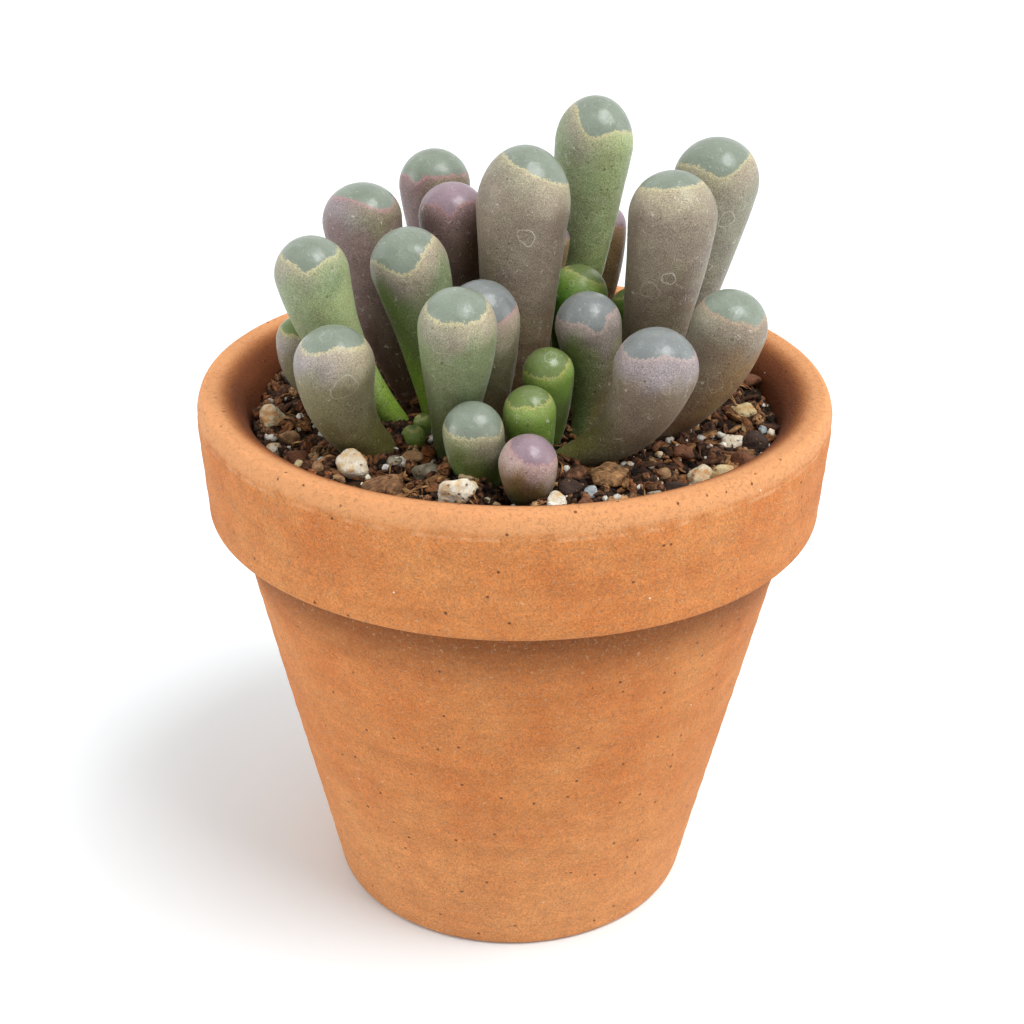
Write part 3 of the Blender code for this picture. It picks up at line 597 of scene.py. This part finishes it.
def oval(centre, width, height, start, end, steps):
    """An arc of an oval, between two angles in degrees from the outward radius."""
    angle = np.radians(np.linspace(start, end, steps))
    return np.stack([centre[0] + width * np.cos(angle), centre[1] + height * np.sin(angle)], -1)


def closed_path(arcs, step):
    """Arcs joined into one closed path, by straight runs with a point about every step."""
    path = []
    for arc, following in zip(arcs, arcs[1:] + arcs[:1]):
        cuts = max(1, int(np.linalg.norm(following[0] - arc[-1]) / step))
        t = np.linspace(0, 1, cuts + 1)[1:-1, None]
        path += [arc, arc[-1] + (following[0] - arc[-1]) * t]
    return np.concatenate(path)


def inner_radius(height):
    """The pot's inner wall."""
    return WALL_TOP_RADIUS - WALL - WALL_SLOPE * (COLLAR_FOOT_HEIGHT - height)


def make_pot(finish):
    """The pot: its closed section turned once round, with the slow waves, the faint throwing
    ridges and the shallow groove under the lip that hand finishing leaves."""
    start_angle = math.radians(LIP_INNER_START)
    start_height = POT_HEIGHT - LIP_INNER_DROP * (1 - math.sin(start_angle))
    inner_width = (LIP_CREST_RADIUS - inner_radius(start_height)) / math.cos(start_angle)
    outer_middle = (LIP_CREST_RADIUS, POT_HEIGHT - LIP_OUTER_DROP)
    inner_middle = (LIP_CREST_RADIUS, POT_HEIGHT - LIP_INNER_DROP)
    outer_lip = oval(outer_middle, LIP_RADIUS - LIP_CREST_RADIUS, LIP_OUTER_DROP, 90, 0, 9)
    inner_lip = oval(inner_middle, inner_width, LIP_INNER_DROP, 180 - LIP_INNER_START, 94, 12)
    line = [
        outer_lip[-1], (COLLAR_FOOT_RADIUS, COLLAR_FOOT_HEIGHT), (WALL_TOP_RADIUS, COLLAR_FOOT_HEIGHT),
        (BASE_RADIUS, 0), (DRAIN_RADIUS, 0), (DRAIN_RADIUS, FLOOR), (inner_radius(FLOOR), FLOOR),
        inner_lip[0]]
    corners = [rounded(line[k], line[k + 1], line[k + 2], size) for k, size in enumerate(POT_ROUNDS)]
    section = closed_path([outer_lip, *corners, inner_lip], 0.75)
    radius, height = section[:, :1], section[:, 1:]
    angle = np.linspace(0, 2 * math.pi, POT_SIDES, endpoint=False)[None]
    outside = ease(radius, inner_radius(height) + 2.5, inner_radius(height) + 3.8)
    ridges = 0.02 * np.sin(2.1 * height + 0.8 * np.sin(angle))
    ridges = ridges + 0.012 * np.sin(4.7 * height + np.sin(2 * angle))
    slow = 0.07 * np.sin(2 * angle + 0.5) + 0.05 * np.sin(3 * angle + 0.04 * height)
    slow = slow + 0.03 * np.sin(7 * angle + 0.2 * height)
    groove = -0.14 * np.exp(-(((height - LIP_LINE - 0.1 * np.sin(3 * angle)) / 0.3) ** 2))
    radius = radius + outside * (ridges * ease(height, 1, 3) + groove) + slow * 0.6 * ease(height, 0.5, 6)
    height = height + 0.05 * np.sin(3 * angle + 1) * ease(height, 50, 58)
    points = np.stack([radius * np.sin(angle), -radius * np.cos(angle), height + 0 * angle], -1)
    faces = face_list(*skin_faces(*points.shape[:2], looped=True))
    put("clay_pot", points.reshape(-1, 3), faces, finish, "terracotta", ["pot"])


def clay_finish():
    """Terracotta, earthenware turned on a wheel and fired unglazed: dead matt orange with a paler
    bloom, fine grog, small pits, curved pale drag marks and a rubbed lip made brighter with a painted
    highlight."""
    made, tree, mm = start("Unglazed turned terracotta", IOR=1.5, Specular_IOR_Level=0.3)
    height = add(tree, "SeparateXYZ", "Z", {0: mm})
    bloom = noise(tree, mm, 0.12, 6.0, 0.7)
    bloom = span(tree, bloom, 0.36, 0.64, 0.0, 1.0)
    colour = mix(tree, bloom, "be7038", "c9834a")

    # Painted shade darkens the angle under the collar, where the collar's shadow falls
    below = span(tree, height, 36.0, 44.5, 0.0, 0.95, smooth=True)
    under = span(tree, height, 45.05, 45.3, 1.0, 0.0)
    painted_collar_shade = maths(tree, "MULTIPLY", below, under)
    colour = mix(tree, painted_collar_shade, colour, "7a4218")

    # Painted light bounced from the white floor, with salts drawn up from the ground, leaves the foot paler
    floor_light_and_salts = span(tree, height, 2.0, 24.0, 0.3, 0.0)
    colour = mix(tree, floor_light_and_salts, colour, "e2a872")

    # Turning lines run level round the pot, 1 to 2 mm apart
    level = vector(tree, "MULTIPLY", mm, (0.06, 0.06, 0.8))
    lines = noise(tree, level, 1.0, 3.0, 0.6)
    # Grog and clay grains about 0.2 mm, and clouds of 2 mm
    grit = noise(tree, mm, 5.0, 2.0, 0.7)
    cloud = noise(tree, mm, 0.45, 3.0, 0.6)
    value = span(tree, grit, 0.3, 0.7, 0.72, 1.28)
    line_value = span(tree, lines, 0.3, 0.7, 0.93, 1.07)
    cloud_value = span(tree, cloud, 0.3, 0.7, 0.93, 1.07)
    value = maths(tree, "MULTIPLY", value, line_value)
    value = maths(tree, "MULTIPLY", value, cloud_value)
    colour = valued(tree, colour, value)

    # Curved drag marks 0.5 mm long, kept in scattered places: some raised and pale, some scored and
    # dark. Each kind has its offset, tone and strength, where it starts and how far it rises.
    relief = grit
    drags = (((0, 0, 0), "e6ba8e", 0.32, 0.5, 0.5), ((23, 9, 31), "8c4c20", 0.14, 0.58, -0.3))
    for away, tone, amount, low, rise in drags:
        there = vector(tree, "ADD", mm, away)
        kept = span(tree, noise(tree, there, 2.4, 0.0), low, low + 0.1, 0.0, 1.0)
        drag = maths(tree, "MULTIPLY", threads(tree, there, 2.3, 0.01, 0.05), kept)
        faint = maths(tree, "MULTIPLY", drag, amount)
        colour = mix(tree, faint, colour, tone)
        relief = maths(tree, "MULTIPLY_ADD", drag, rise, relief)

    # The lip is rubbed paler and carries a painted highlight along its outer top, over a faint pale line
    # where it meets the collar
    flat = vector(tree, "MULTIPLY", mm, (1.0, 1.0, 0.0))
    across = add(tree, "VectorMath", "Value", {0: flat}, operation="LENGTH")
    outer = span(tree, across, 29.0, 30.6, 0.0, 1.0, smooth=True)
    rubbed_lip_and_highlight = maths(tree, "MULTIPLY_ADD", cloud, 1.2, height)
    rubbed_lip_and_highlight = span(tree, rubbed_lip_and_highlight, 56.3, 57.3, 0.0, 0.72, smooth=True)
    rubbed_lip_and_highlight = maths(tree, "MULTIPLY", rubbed_lip_and_highlight, outer)
    colour = mix(tree, rubbed_lip_and_highlight, colour, "da9c6a")
    off = maths(tree, "SUBTRACT", height, LIP_LINE)
    off = maths(tree, "ABSOLUTE", off)
    seam = span(tree, off, 0.05, 0.3, 1.0, 0.0)
    seam_kept = span(tree, cloud, 0.42, 0.58, 0.0, 0.25)
    seam = maths(tree, "MULTIPLY", seam, seam_kept)
    colour = mix(tree, seam, colour, "edc096")

    # Water from the soil and painted shade darken the inner wall, most deeply towards the soil
    inner = span(tree, across, 28.4, 30.8, 0.95, 0.0, smooth=True)
    above = span(tree, height, 46.0, 47.0, 0.0, 1.0)
    damp_and_shade = maths(tree, "MULTIPLY", inner, above)
    colour = mix(tree, damp_and_shade, colour, "6b3410")

    # Pits 0.2 mm wide where grit fell out, and white specks of lime
    pit = span(tree, cells(tree, mm, 0.52), 0.05, 0.09, 0.85, 0.0)
    colour = mix(tree, pit, colour, "5c3018")
    shifted = vector(tree, "ADD", mm, (40.0, 13.0, 7.0))
    lime = span(tree, cells(tree, shifted, 0.28), 0.015, 0.035, 0.9, 0.0)
    colour = mix(tree, lime, colour, "f4e8d6")

    relief = maths(tree, "MULTIPLY_ADD", pit, -1.6, relief)
    relief = maths(tree, "MULTIPLY_ADD", lines, 0.5, relief)
    normal = bump(tree, relief, 0.9, 0.12)
    rough = span(tree, grit, 0.3, 0.7, 0.74, 0.95)
    return dressed(made, Base_Color=colour, Roughness=rough, Normal=normal)


# The soil


def soil_height(x, y):
    """The soil's surface: a low dome with rolls 3 to 12 mm long, a sum of ten plane waves."""
    rng = np.random.default_rng(4)
    waves = 2 * math.pi / rng.uniform(3, 12, 10)
    heading = rng.uniform(0, 2 * math.pi, 10)
    phase = rng.uniform(0, 2 * math.pi, 10)
    roll = sum(
        np.sin(w * (x * math.cos(h) + y * math.sin(h)) + p) / w for w, h, p in zip(waves, heading, phase))
    return SOIL_HEIGHT - 0.4 * (np.hypot(x, y) / 27) ** 2 + 0.16 * roll - 0.1


def make_bed(finish):
    """The bed of fine soil: its rough top over a side and a base that follow the pot inside."""
    spread = np.linspace(0, 1, BED_TOP_RINGS + 1)[1:] ** 0.8
    angle = np.linspace(0, 2 * math.pi, BED_SIDES, endpoint=False)[None]
    rim = inner_radius(54.4) - BED_GAP
    wall = np.linspace(rim, inner_radius(BED_FOOT) - BED_GAP, BED_SIDE_RINGS + 1)[1:]
    base_radii = (19.5, 12, 5, 2)
    radius = np.concatenate([spread * rim, wall, base_radii])[:, None]
    x, y = radius * np.sin(angle), -radius * np.cos(angle)
    crumbly = np.random.default_rng(9).normal(0, 0.13, (BED_TOP_RINGS, BED_SIDES))
    crumbly = (crumbly + np.roll(crumbly, 1, 1)) * ease(spread, 0.02, 0.2)[:, None]
    top = soil_height(x[:BED_TOP_RINGS], y[:BED_TOP_RINGS]) + crumbly
    side = np.linspace(BED_RIM, BED_FOOT, BED_SIDE_RINGS + 1)[1:, None] + 0 * angle
    base = np.full((len(base_radii), BED_SIDES), BED_BASE)
    points = np.stack([x, y, np.concatenate([top, side, base])], -1)
    centre = np.array([[0, 0, float(soil_height(0, 0))], [0, 0, BED_BASE]])
    flat = np.concatenate([points.reshape(-1, 3), centre])
    put("soil_bed", flat, face_list(*skin_faces(*points.shape[:2])), finish, "soil", ["soil"])


def turns(yaw, tilt, rng):
    """Rotations: a tilt of up to so many radians about a random level line, then a yaw."""
    lean, about = rng.uniform(-1, 1, len(yaw)) * tilt, rng.uniform(0, 2 * math.pi, len(yaw))
    axis = np.stack([np.cos(about), np.sin(about), 0 * about], -1)
    c, s = np.cos(lean)[:, None, None], np.sin(lean)[:, None, None]
    cross = np.zeros((len(yaw), 3, 3))
    cross[:, 0, 2], cross[:, 2, 0] = axis[:, 1], -axis[:, 1]
    cross[:, 1, 2], cross[:, 2, 1] = -axis[:, 0], axis[:, 0]
    leaning = np.eye(3) * c + cross * s + axis[:, :, None] * axis[:, None] * (1 - c)
    spin = np.zeros((len(yaw), 3, 3))
    spin[:, 0, 0] = spin[:, 1, 1] = np.cos(yaw)
    spin[:, 1, 0], spin[:, 0, 1] = np.sin(yaw), -np.sin(yaw)
    spin[:, 2, 2] = 1
    return leaning @ spin


def grains(middles, widths, rotations, grid, flats, sharp, rough, rng):
    """Many grains as one mesh: its points, faces and each point's place in its own grain, in mm.

    A grain is a ball on a grid of height and turn. Its radius is 1 / (sum of (d / h)^sharp)^(1 /
    sharp), where d is how far a direction points to each of some random flats and h how far out
    that flat lies. That gives flats that meet in rounded edges. Five waves roughen it."""
    count, (rows, around) = len(middles), grid
    lift = (np.arange(rows) + 0.5) / rows * math.pi
    angle = np.linspace(0, 2 * math.pi, around, endpoint=False)
    ball = np.stack([
        np.sin(lift)[:, None] * np.sin(angle), -np.sin(lift)[:, None] * np.cos(angle),
        np.repeat(np.cos(lift)[:, None], around, 1)], -1).reshape(-1, 3)
    ball = np.concatenate([ball, [[0, 0, 1], [0, 0, -1]]])
    ways = unit(rng.normal(size=(count, flats, 3)))
    out = rng.uniform(0.72, 1.08, (count, 1, flats))
    reach = np.maximum(np.einsum("pk,nfk->npf", ball, ways) / out, 0.05)
    radius = (reach**sharp).sum(-1) ** (-1 / sharp)
    radius = np.minimum(radius, 1.25)
    bumps = rng.normal(size=(count, 5, 3)) * rng.uniform(2, 7, (count, 5, 1))
    phases = rng.uniform(0, 6.28, (count, 1, 5))
    radius = radius * (1 + rough * np.sin(np.einsum("pk,nfk->npf", ball, bumps) + phases).sum(-1))
    own = ball * radius[..., None] * widths[:, None] / 2
    points = np.einsum("npk,njk->npj", own, rotations) + middles[:, None]
    quads, fans = skin_faces(rows, around)
    step = (np.arange(count) * len(ball))[:, None, None]
    faces = face_list((quads + step).reshape(-1, 4), (fans + step).reshape(-1, 3))
    return points.reshape(-1, 3), faces, own.reshape(-1, 3), len(ball)


def clear_of_leaves(places, need, leaves):
    """Which places lie at least need mm outside every leaf's skin."""
    middle = np.concatenate([shape[3] for shape in leaves])
    radius = np.concatenate([shape[4] for shape in leaves])
    # Nothing loose on the soil reaches 63 mm
    low = middle[:, 2] < 63
    gap = np.linalg.norm(places[:, None] - middle[low], axis=-1) - radius[low]
    return gap.min(1) > need


def scatter(count, reach, size, sink, rng, leaves, need=-0.15):
    """Random places on the soil inside reach, with widths between the two sizes, clear of leaves."""
    out, angle = reach * np.sqrt(rng.uniform(0, 1, count)), rng.uniform(0, 2 * math.pi, count)
    width = size[0] + (size[1] - size[0]) * rng.beta(1.3, 3, count)
    x, y = out * np.cos(angle), out * np.sin(angle)
    places = np.stack([x, y, soil_height(x, y) + width * sink], -1)
    fit = clear_of_leaves(places, width * need, leaves)
    fit = fit & (np.hypot(x, y) + width / 2 < inner_radius(54.5) - 0.1)
    return places[fit], width[fit]


def grit(name, spread, flatness, tones, finish, rng, grid=(4, 6), flats=10, sharp=7.0, rough=0.03):
    """One mesh of scattered loose grit whose grains take their colours from a list of tones."""
    places, widths = spread
    count = len(places)
    shape = widths[:, None] * np.stack([
        rng.uniform(0.85, 1.2, count), rng.uniform(0.7, 1.0, count), rng.uniform(*flatness, count)], -1)
    points, faces, own, each = grains(
        places, shape, turns(rng.uniform(0, 6.28, count), 1.2, rng), grid, flats, sharp, rough, rng)
    tints = linear(tones)[rng.integers(0, len(tones.split()), count)] * rng.uniform(0.75, 1.2, (count, 1))
    put_grains(name, points, faces, own, each, tints, finish)


def put_grains(name, points, faces, own, each, tints, finish):
    """Grains as one piece of the soil, each with its tint, and the ways along and across it."""
    tint = np.repeat(tints, each, 0)
    put(name, points, faces, finish, "soil", tint=tint, across=own[:, 1], along=own[:, 0])


def make_fibres(count, finish, rng, leaves):
    """Loose fibres: thin tubes along shallow arcs, which taper to a point at both ends."""
    places, length = scatter(count, 26, (1.5, 5.0), 0.0, rng, leaves, need=0.05)
    count, rows, around = len(places), 7, 3
    t = np.linspace(0, 1, rows)[None, :, None]
    yaw, bend = rng.uniform(0, 6.28, (count, 1, 1)), rng.normal(0, 0.22, (count, 1, 1))
    ahead = np.concatenate([np.cos(yaw), np.sin(yaw), rng.normal(0, 0.12, (count, 1, 1))], -1)
    aside = np.concatenate([-np.sin(yaw), np.cos(yaw), 0 * yaw], -1)
    size = length[:, None, None]
    line = places[:, None] + ahead * size * (t - 0.5) + aside * size * bend * 4 * t * (1 - t)
    ends = np.hypot(line[..., 0], line[..., 1]).max(1) < 26.2
    clear = clear_of_leaves(line.reshape(-1, 3), 0.0, leaves).reshape(count, rows).all(1)
    line, yaw, size = line[ends & clear], yaw[ends & clear], size[ends & clear]
    count = len(line)
    arch = rng.uniform(0.15, 0.75, (count, 1)) + 0.4 * np.sin(math.pi * t[..., 0])
    line[..., 2] = soil_height(line[..., 0], line[..., 1]) + arch
    aside = np.concatenate([-np.sin(yaw), np.cos(yaw), 0 * yaw], -1)[:, :, None]
    thick = rng.uniform(0.08, 0.17, (count, 1, 1)) * np.sin(math.pi * (0.06 + 0.88 * t)) ** 0.5
    turn = np.linspace(0, 2 * math.pi, around, endpoint=False)[None, None, :, None]
    rings = line[:, :, None] + thick[..., None] * (aside * np.cos(turn) + np.array([0, 0, 1]) * np.sin(turn))
    points = np.concatenate([rings.reshape(count, -1, 3), line[:, :1], line[:, -1:]], 1)
    quads, fans = skin_faces(rows, around)
    step = (np.arange(count) * points.shape[1])[:, None, None]
    faces = face_list((quads + step).reshape(-1, 4)[:, ::-1], (fans + step).reshape(-1, 3)[:, ::-1])
    tints = linear("9c6b42 7a4c2e b58a5c 5b3a26")[rng.integers(0, 4, count)]
    along = np.tile(np.concatenate([np.repeat(t[0, :, 0], around), [0, 1]]), count)
    tint = np.repeat(tints, points.shape[1], 0)
    put("soil_fibres", points.reshape(-1, 3), faces, finish, "soil", tint=tint, across=0 * along, along=along)


def grit_finish(name, contrast, grain, roughness, depth, pits=0.0, hollow="6a5238"):
    """Loose mineral or humus grains: each keeps its own tint, broken by clouds, dark pits and dust.
    contrast is how far the clouds go, grain their scale per mm, depth the relief in mm, pits how
    strong the pits are and hollow their colour."""
    made, tree, mm = start(name, IOR=1.5, Roughness=roughness, Specular_IOR_Level=0.35)
    tint = mark(tree, "tint", "Color")
    fine = noise(tree, mm, grain, 4.0, 0.7)
    value = span(tree, fine, 0.3, 0.7, 1 - contrast, 1 + contrast)
    colour = valued(tree, tint, value)
    gaps = span(tree, fine, 0.36, 0.5, pits, 0.0)
    hole = span(tree, cells(tree, mm, 2.2), 0.12, 0.25, pits, 0.0)
    hole = maths(tree, "MAXIMUM", gaps, hole)
    colour = mix(tree, hole, colour, hollow)
    relief = maths(tree, "MULTIPLY_ADD", hole, -1.2, fine)
    normal = bump(tree, relief, 0.8, depth)
    return dressed(made, Base_Color=colour, Normal=normal)


def stone_finish():
    """Pumice and river grit, crushed and tumbled: chalky, pitted, with rust stains in patches."""
    made, tree, mm = start("Tumbled pumice grit", IOR=1.5, Roughness=0.8, Specular_IOR_Level=0.35)
    tint = mark(tree, "tint", "Color")
    stain = mark(tree, "stain", "Color")
    # Stains 0.7 mm wide, pits 0.15 to 0.3 mm, grains 0.2 mm
    patch = noise(tree, mm, 0.85, 4.0, 0.65)
    amount = span(tree, patch, 0.46, 0.62, 0.0, 0.85)
    colour = mix(tree, amount, tint, stain)
    fine = noise(tree, mm, 3.4, 3.0, 0.7)
    value = span(tree, fine, 0.3, 0.7, 0.72, 1.16)
    colour = valued(tree, colour, value)
    hole = span(tree, cells(tree, mm, 1.2), 0.06, 0.22, 0.7, 0.0)
    colour = mix(tree, hole, colour, "9a7448")
    relief = maths(tree, "MULTIPLY_ADD", hole, -1.5, fine)
    normal = bump(tree, relief, 0.9, 0.35)
    return dressed(made, Base_Color=colour, Normal=normal)


def bark_finish(name, dark):
    """Composted pine bark, shredded: dull brown with paler fibres that run along each chip."""
    made, tree, mm = start(name, IOR=1.5, Roughness=0.85, Specular_IOR_Level=0.3)
    tint = mark(tree, "tint", "Color")
    across = mark(tree, "across")
    along = mark(tree, "along")
    run = add(tree, "CombineXYZ", inputs={0: across, 1: along})
    # Fibres 0.2 mm wide and several mm long, and wandering flaws
    drawn = vector(tree, "MULTIPLY", run, (3.6, 0.7, 1.0))
    streak = noise(tree, drawn, 1.0, 4.0, 0.7, bend=1.2)
    fine = noise(tree, mm, 1.6, 4.0, 0.7)
    value = span(tree, streak, 0.34, 0.66, 0.25, 1.5)
    cloud = span(tree, fine, 0.34, 0.66, 0.45, 1.35)
    value = maths(tree, "MULTIPLY", value, cloud)
    colour = valued(tree, tint, value)
    crack = span(tree, streak, 0.3, 0.4, 0.8, 0.0)
    colour = mix(tree, crack, colour, dark)
    relief = maths(tree, "MULTIPLY_ADD", streak, 1.5, fine)
    normal = bump(tree, relief, 0.9, 0.2)
    return dressed(made, Base_Color=colour, Normal=normal)


def humus_finish():
    """Peat and leaf mould, sieved: near black, crumbly, with reddish fibres and a few pale flecks."""
    made, tree, mm = start("Sieved peat and leaf mould", IOR=1.45, Roughness=0.92, Specular_IOR_Level=0.25)
    coarse = noise(tree, mm, 0.7, 5.0, 0.7)
    amount = span(tree, coarse, 0.4, 0.65, 0.0, 1.0)
    colour = mix(tree, amount, "1c120c", "523825")
    fleck = span(tree, cells(tree, mm, 1.1), 0.08, 0.14, 0.7, 0.0)
    colour = mix(tree, fleck, colour, "9a8468")
    fine = noise(tree, mm, 2.4, 4.0, 0.75)
    normal = bump(tree, fine, 1.0, 0.4)
    return dressed(made, Base_Color=colour, Normal=normal)


def root_finish():
    """Woody succulent roots and crown, grown in dry soil: dull brown cork with fine cracks."""
    made, tree, mm = start("Corky root crown", IOR=1.5, Roughness=0.88)
    drawn = vector(tree, "MULTIPLY", mm, (1.0, 1.0, 0.25))
    # Cork ridges about 0.8 mm apart, drawn out downwards
    cork = noise(tree, drawn, 1.2, 4.0, 0.7)
    amount = span(tree, cork, 0.35, 0.65, 0.0, 1.0)
    colour = mix(tree, amount, "4a3322", "8c6a48")
    normal = bump(tree, cork, 0.8, 0.3)
    return dressed(made, Base_Color=colour, Normal=normal)


def make_soil(leaves):
    """The soil bed with everything that lies on it."""
    rng = np.random.default_rng(21)
    humus, bark = humus_finish(), bark_finish("Shredded pine bark", "24160e")
    crumb = grit_finish("Dark humus crumbs", 0.7, 1.9, 0.92, 0.6, pits=0.5, hollow="120b07")
    lava = grit_finish("Crushed lava rock", 0.75, 1.7, 0.9, 0.7, pits=0.85, hollow="1e140d")
    perlite = grit_finish("Expanded perlite", 0.12, 2.6, 0.7, 0.15, pits=0.3, hollow="8a7250")
    make_bed(humus)
    tones = "3f2a1e 5a3c2a 2b1c13 7d5538 48301f 936a48 21140d"
    spread = scatter(3400, 26.9, (0.4, 1.7), 0.12, rng, leaves)
    grit("humus_crumbs", spread, (0.5, 0.9), tones, crumb, rng, sharp=10.0, rough=0.08)
    tones = "875c3d a06d45 63412e b08459 754e35 b58f64 8f5833"
    spread = scatter(520, 26.8, (0.7, 2.2), 0.25, rng, leaves)
    grit("lava_grains", spread, (0.6, 0.9), tones, lava, rng, (5, 8), 12, 9.0, 0.1)
    tones = "ece8dd e4dac4 d8d2c6 f1eee6 cfc2a6"
    spread = scatter(480, 26.9, (0.35, 1.4), 0.4, rng, leaves)
    grit("perlite_grains", spread, (0.6, 1.0), tones, perlite, rng, (5, 7))
    places, widths = scatter(1300, 26.5, (0.8, 2.6), 0.22, rng, leaves)
    shreds = widths[:, None] * np.array([1.3, 0.5, 0.3])
    points, faces, own, each = grains(
        places, shreds, turns(rng.uniform(0, 6.28, len(places)), 0.8, rng), (5, 8), 8, 10.0, 0.08, rng)
    tints = linear("7a4f31 96683e 5a3924 a87b4e 40291b 8a5a34")[rng.integers(0, 6, len(places))]
    put_grains("bark_shreds", points, faces, own, each, tints, bark)

    chips = np.array(CHIPS)
    seat = soil_height(chips[:, 0], chips[:, 1]) + chips[:, 4] * 0.35 + 0.2
    points, faces, own, each = grains(
        np.stack([chips[:, 0], chips[:, 1], seat], -1), chips[:, 2:5],
        turns(np.radians(chips[:, 5]), 0.45, rng), (30, 44), 18, 14.0, 0.04, rng)
    tints = linear("8a6444 a07850 6f4a33 84603f")[np.arange(len(chips)) % 4]
    put_grains("bark_chips", points, faces, own, each, tints, bark)

    tone = [row[0] for row in STONES]
    size = np.array([row[1:] for row in STONES], float)
    shares = ((1.0, 1.12), (0.84, 0.98), (0.64, 0.84))
    widths = size[:, 2:] * np.stack([rng.uniform(least, most, len(size)) for least, most in shares], -1)
    seat = soil_height(size[:, 0], size[:, 1]) + widths[:, 2] * 0.34 + 0.15
    points, faces, own, each = grains(
        np.stack([size[:, 0], size[:, 1], seat], -1), widths,
        turns(rng.uniform(0, 6.28, len(size)), 0.3, rng), (18, 27), 13, 6.0, 0.03, rng)
    pair = np.array([linear(" ".join(TONES[t])) for t in tone])
    put("pumice_stones", points, faces, stone_finish(), "soil",
        tint=np.repeat(pair[:, 0], each, 0), stain=np.repeat(pair[:, 1], each, 0))
    make_fibres(460, bark, rng, leaves)


# The view, the light and the floor


def standing(across, upward, backward, place):
    """The matrix of something that stands at a place with these three axes."""
    matrix = np.eye(4)
    matrix[:3] = np.stack([across, upward, backward, place], 1)
    return Matrix(matrix.tolist())


def make_view():
    """The camera at the photograph's place: square on to the pot, tipped down, rolled slightly."""
    ahead = np.array([0, math.cos(CAMERA_PITCH), -math.sin(CAMERA_PITCH)])
    right, over = np.array([1.0, 0, 0]), np.array([0, math.sin(CAMERA_PITCH), math.cos(CAMERA_PITCH)])
    c, s = math.cos(CAMERA_ROLL), math.sin(CAMERA_ROLL)
    lens = bpy.data.cameras.new("view")
    lens.lens, lens.sensor_width, lens.sensor_fit = CAMERA_LENS, 36, "HORIZONTAL"
    lens.clip_start, lens.clip_end = 0.005, 20
    eye = bpy.data.objects.new("view", lens)
    eye.matrix_world = standing(c * right + s * over, c * over - s * right, -ahead, CAMERA_PLACE * MM)
    bpy.context.scene.collection.objects.link(eye)
    bpy.context.scene.camera = eye


def make_light():
    """A large soft lamp above and to the right, and two weak ones at the sides, in a white room that
    is a little darker behind the camera. A thin white band runs all round its horizon."""
    world = bpy.data.worlds.new("white room")
    world.use_nodes = True
    tree = world.node_tree
    way = add(tree, "TexCoord", "Generated")
    ahead = add(tree, "SeparateXYZ", "Y", {0: way})
    glow = span(tree, ahead, -1.0, 0.6, 0.6, 1.0)
    up = add(tree, "SeparateXYZ", "Z", {0: way})
    horizon = span(tree, up, 0.07, 0.12, 1.0, 0.0)
    glow = maths(tree, "MAXIMUM", glow, horizon)
    tree.links.new(glow, tree.nodes["Background"].inputs["Strength"])
    tree.nodes["Background"].inputs["Color"].default_value = (1, 1, 1, 1)
    bpy.context.scene.world = world
    # Each lamp: the way to it from the plant, its width in metres and its power in watts. All are
    # 2.2 m from the middle of the plant, 50 mm up.
    lamps = (((0.38, -0.25, 0.86), 1.15, 40), ((-0.95, -0.1, 0.14), 1.3, 19), ((0.95, 0.0, 0.16), 1.3, 9))
    for number, (toward, width, power) in enumerate(lamps):
        lamp = bpy.data.lights.new(f"soft lamp {number}", "AREA")
        lamp.shape, lamp.size, lamp.energy = "SQUARE", width, power
        there = bpy.data.objects.new(lamp.name, lamp)
        way = unit(np.array(toward))
        side = unit(np.cross((0, 0, 1), way))
        there.matrix_world = standing(side, np.cross(way, side), way, way * 2.2 + (0, 0, 0.05))
        bpy.context.scene.collection.objects.link(there)
    bpy.context.scene.view_settings.view_transform = "Standard"


def make_floor():
    """A plain sheet of white paper under everything."""
    made, tree, mm = start("Matt white card", Roughness=0.9, Specular_IOR_Level=0.2)
    fibre = noise(tree, mm, 0.05, 2.0)
    tone = mix(tree, fibre, "e9eff1", "ebf0f3")
    dressed(made, Base_Color=tone)
    mesh = bpy.data.meshes.new("floor")
    corners = [(x, y, 0) for x, y in ((-2, -2), (2, -2), (2, 2), (-2, 2))]
    mesh.from_pydata(corners, [], [(0, 1, 2, 3)])
    mesh.materials.append(made)
    floor = bpy.data.objects.new("floor", mesh)
    bpy.context.scene.collection.objects.link(floor)


make_view()
make_light()
make_floor()
make_pot(clay_finish())
finishes = {
    "leaf_grey": leaf_finish("Waxy grey leaf skin", 0.38, 0.16),
    "leaf_green": leaf_finish("Waxy green leaf skin", 0.2, 0.35),
    "leaf_purple": leaf_finish("Waxy purple leaf skin", 0.36, 0.16),
}
for leaf_name in LEAVES:
    leaf_slot = "leaf_grey"
    if leaf_name in GREEN_LEAVES:
        leaf_slot = "leaf_green"
    elif leaf_name in PURPLE_LEAVES:
        leaf_slot = "leaf_purple"
    make_leaf(leaf_name, finishes[leaf_slot], leaf_slot)
make_soil([leaf_shape(leaf_name) for leaf_name in LEAVES])
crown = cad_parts["root_crown"]
crown.data.materials.clear()
crown.data.materials.append(root_finish())
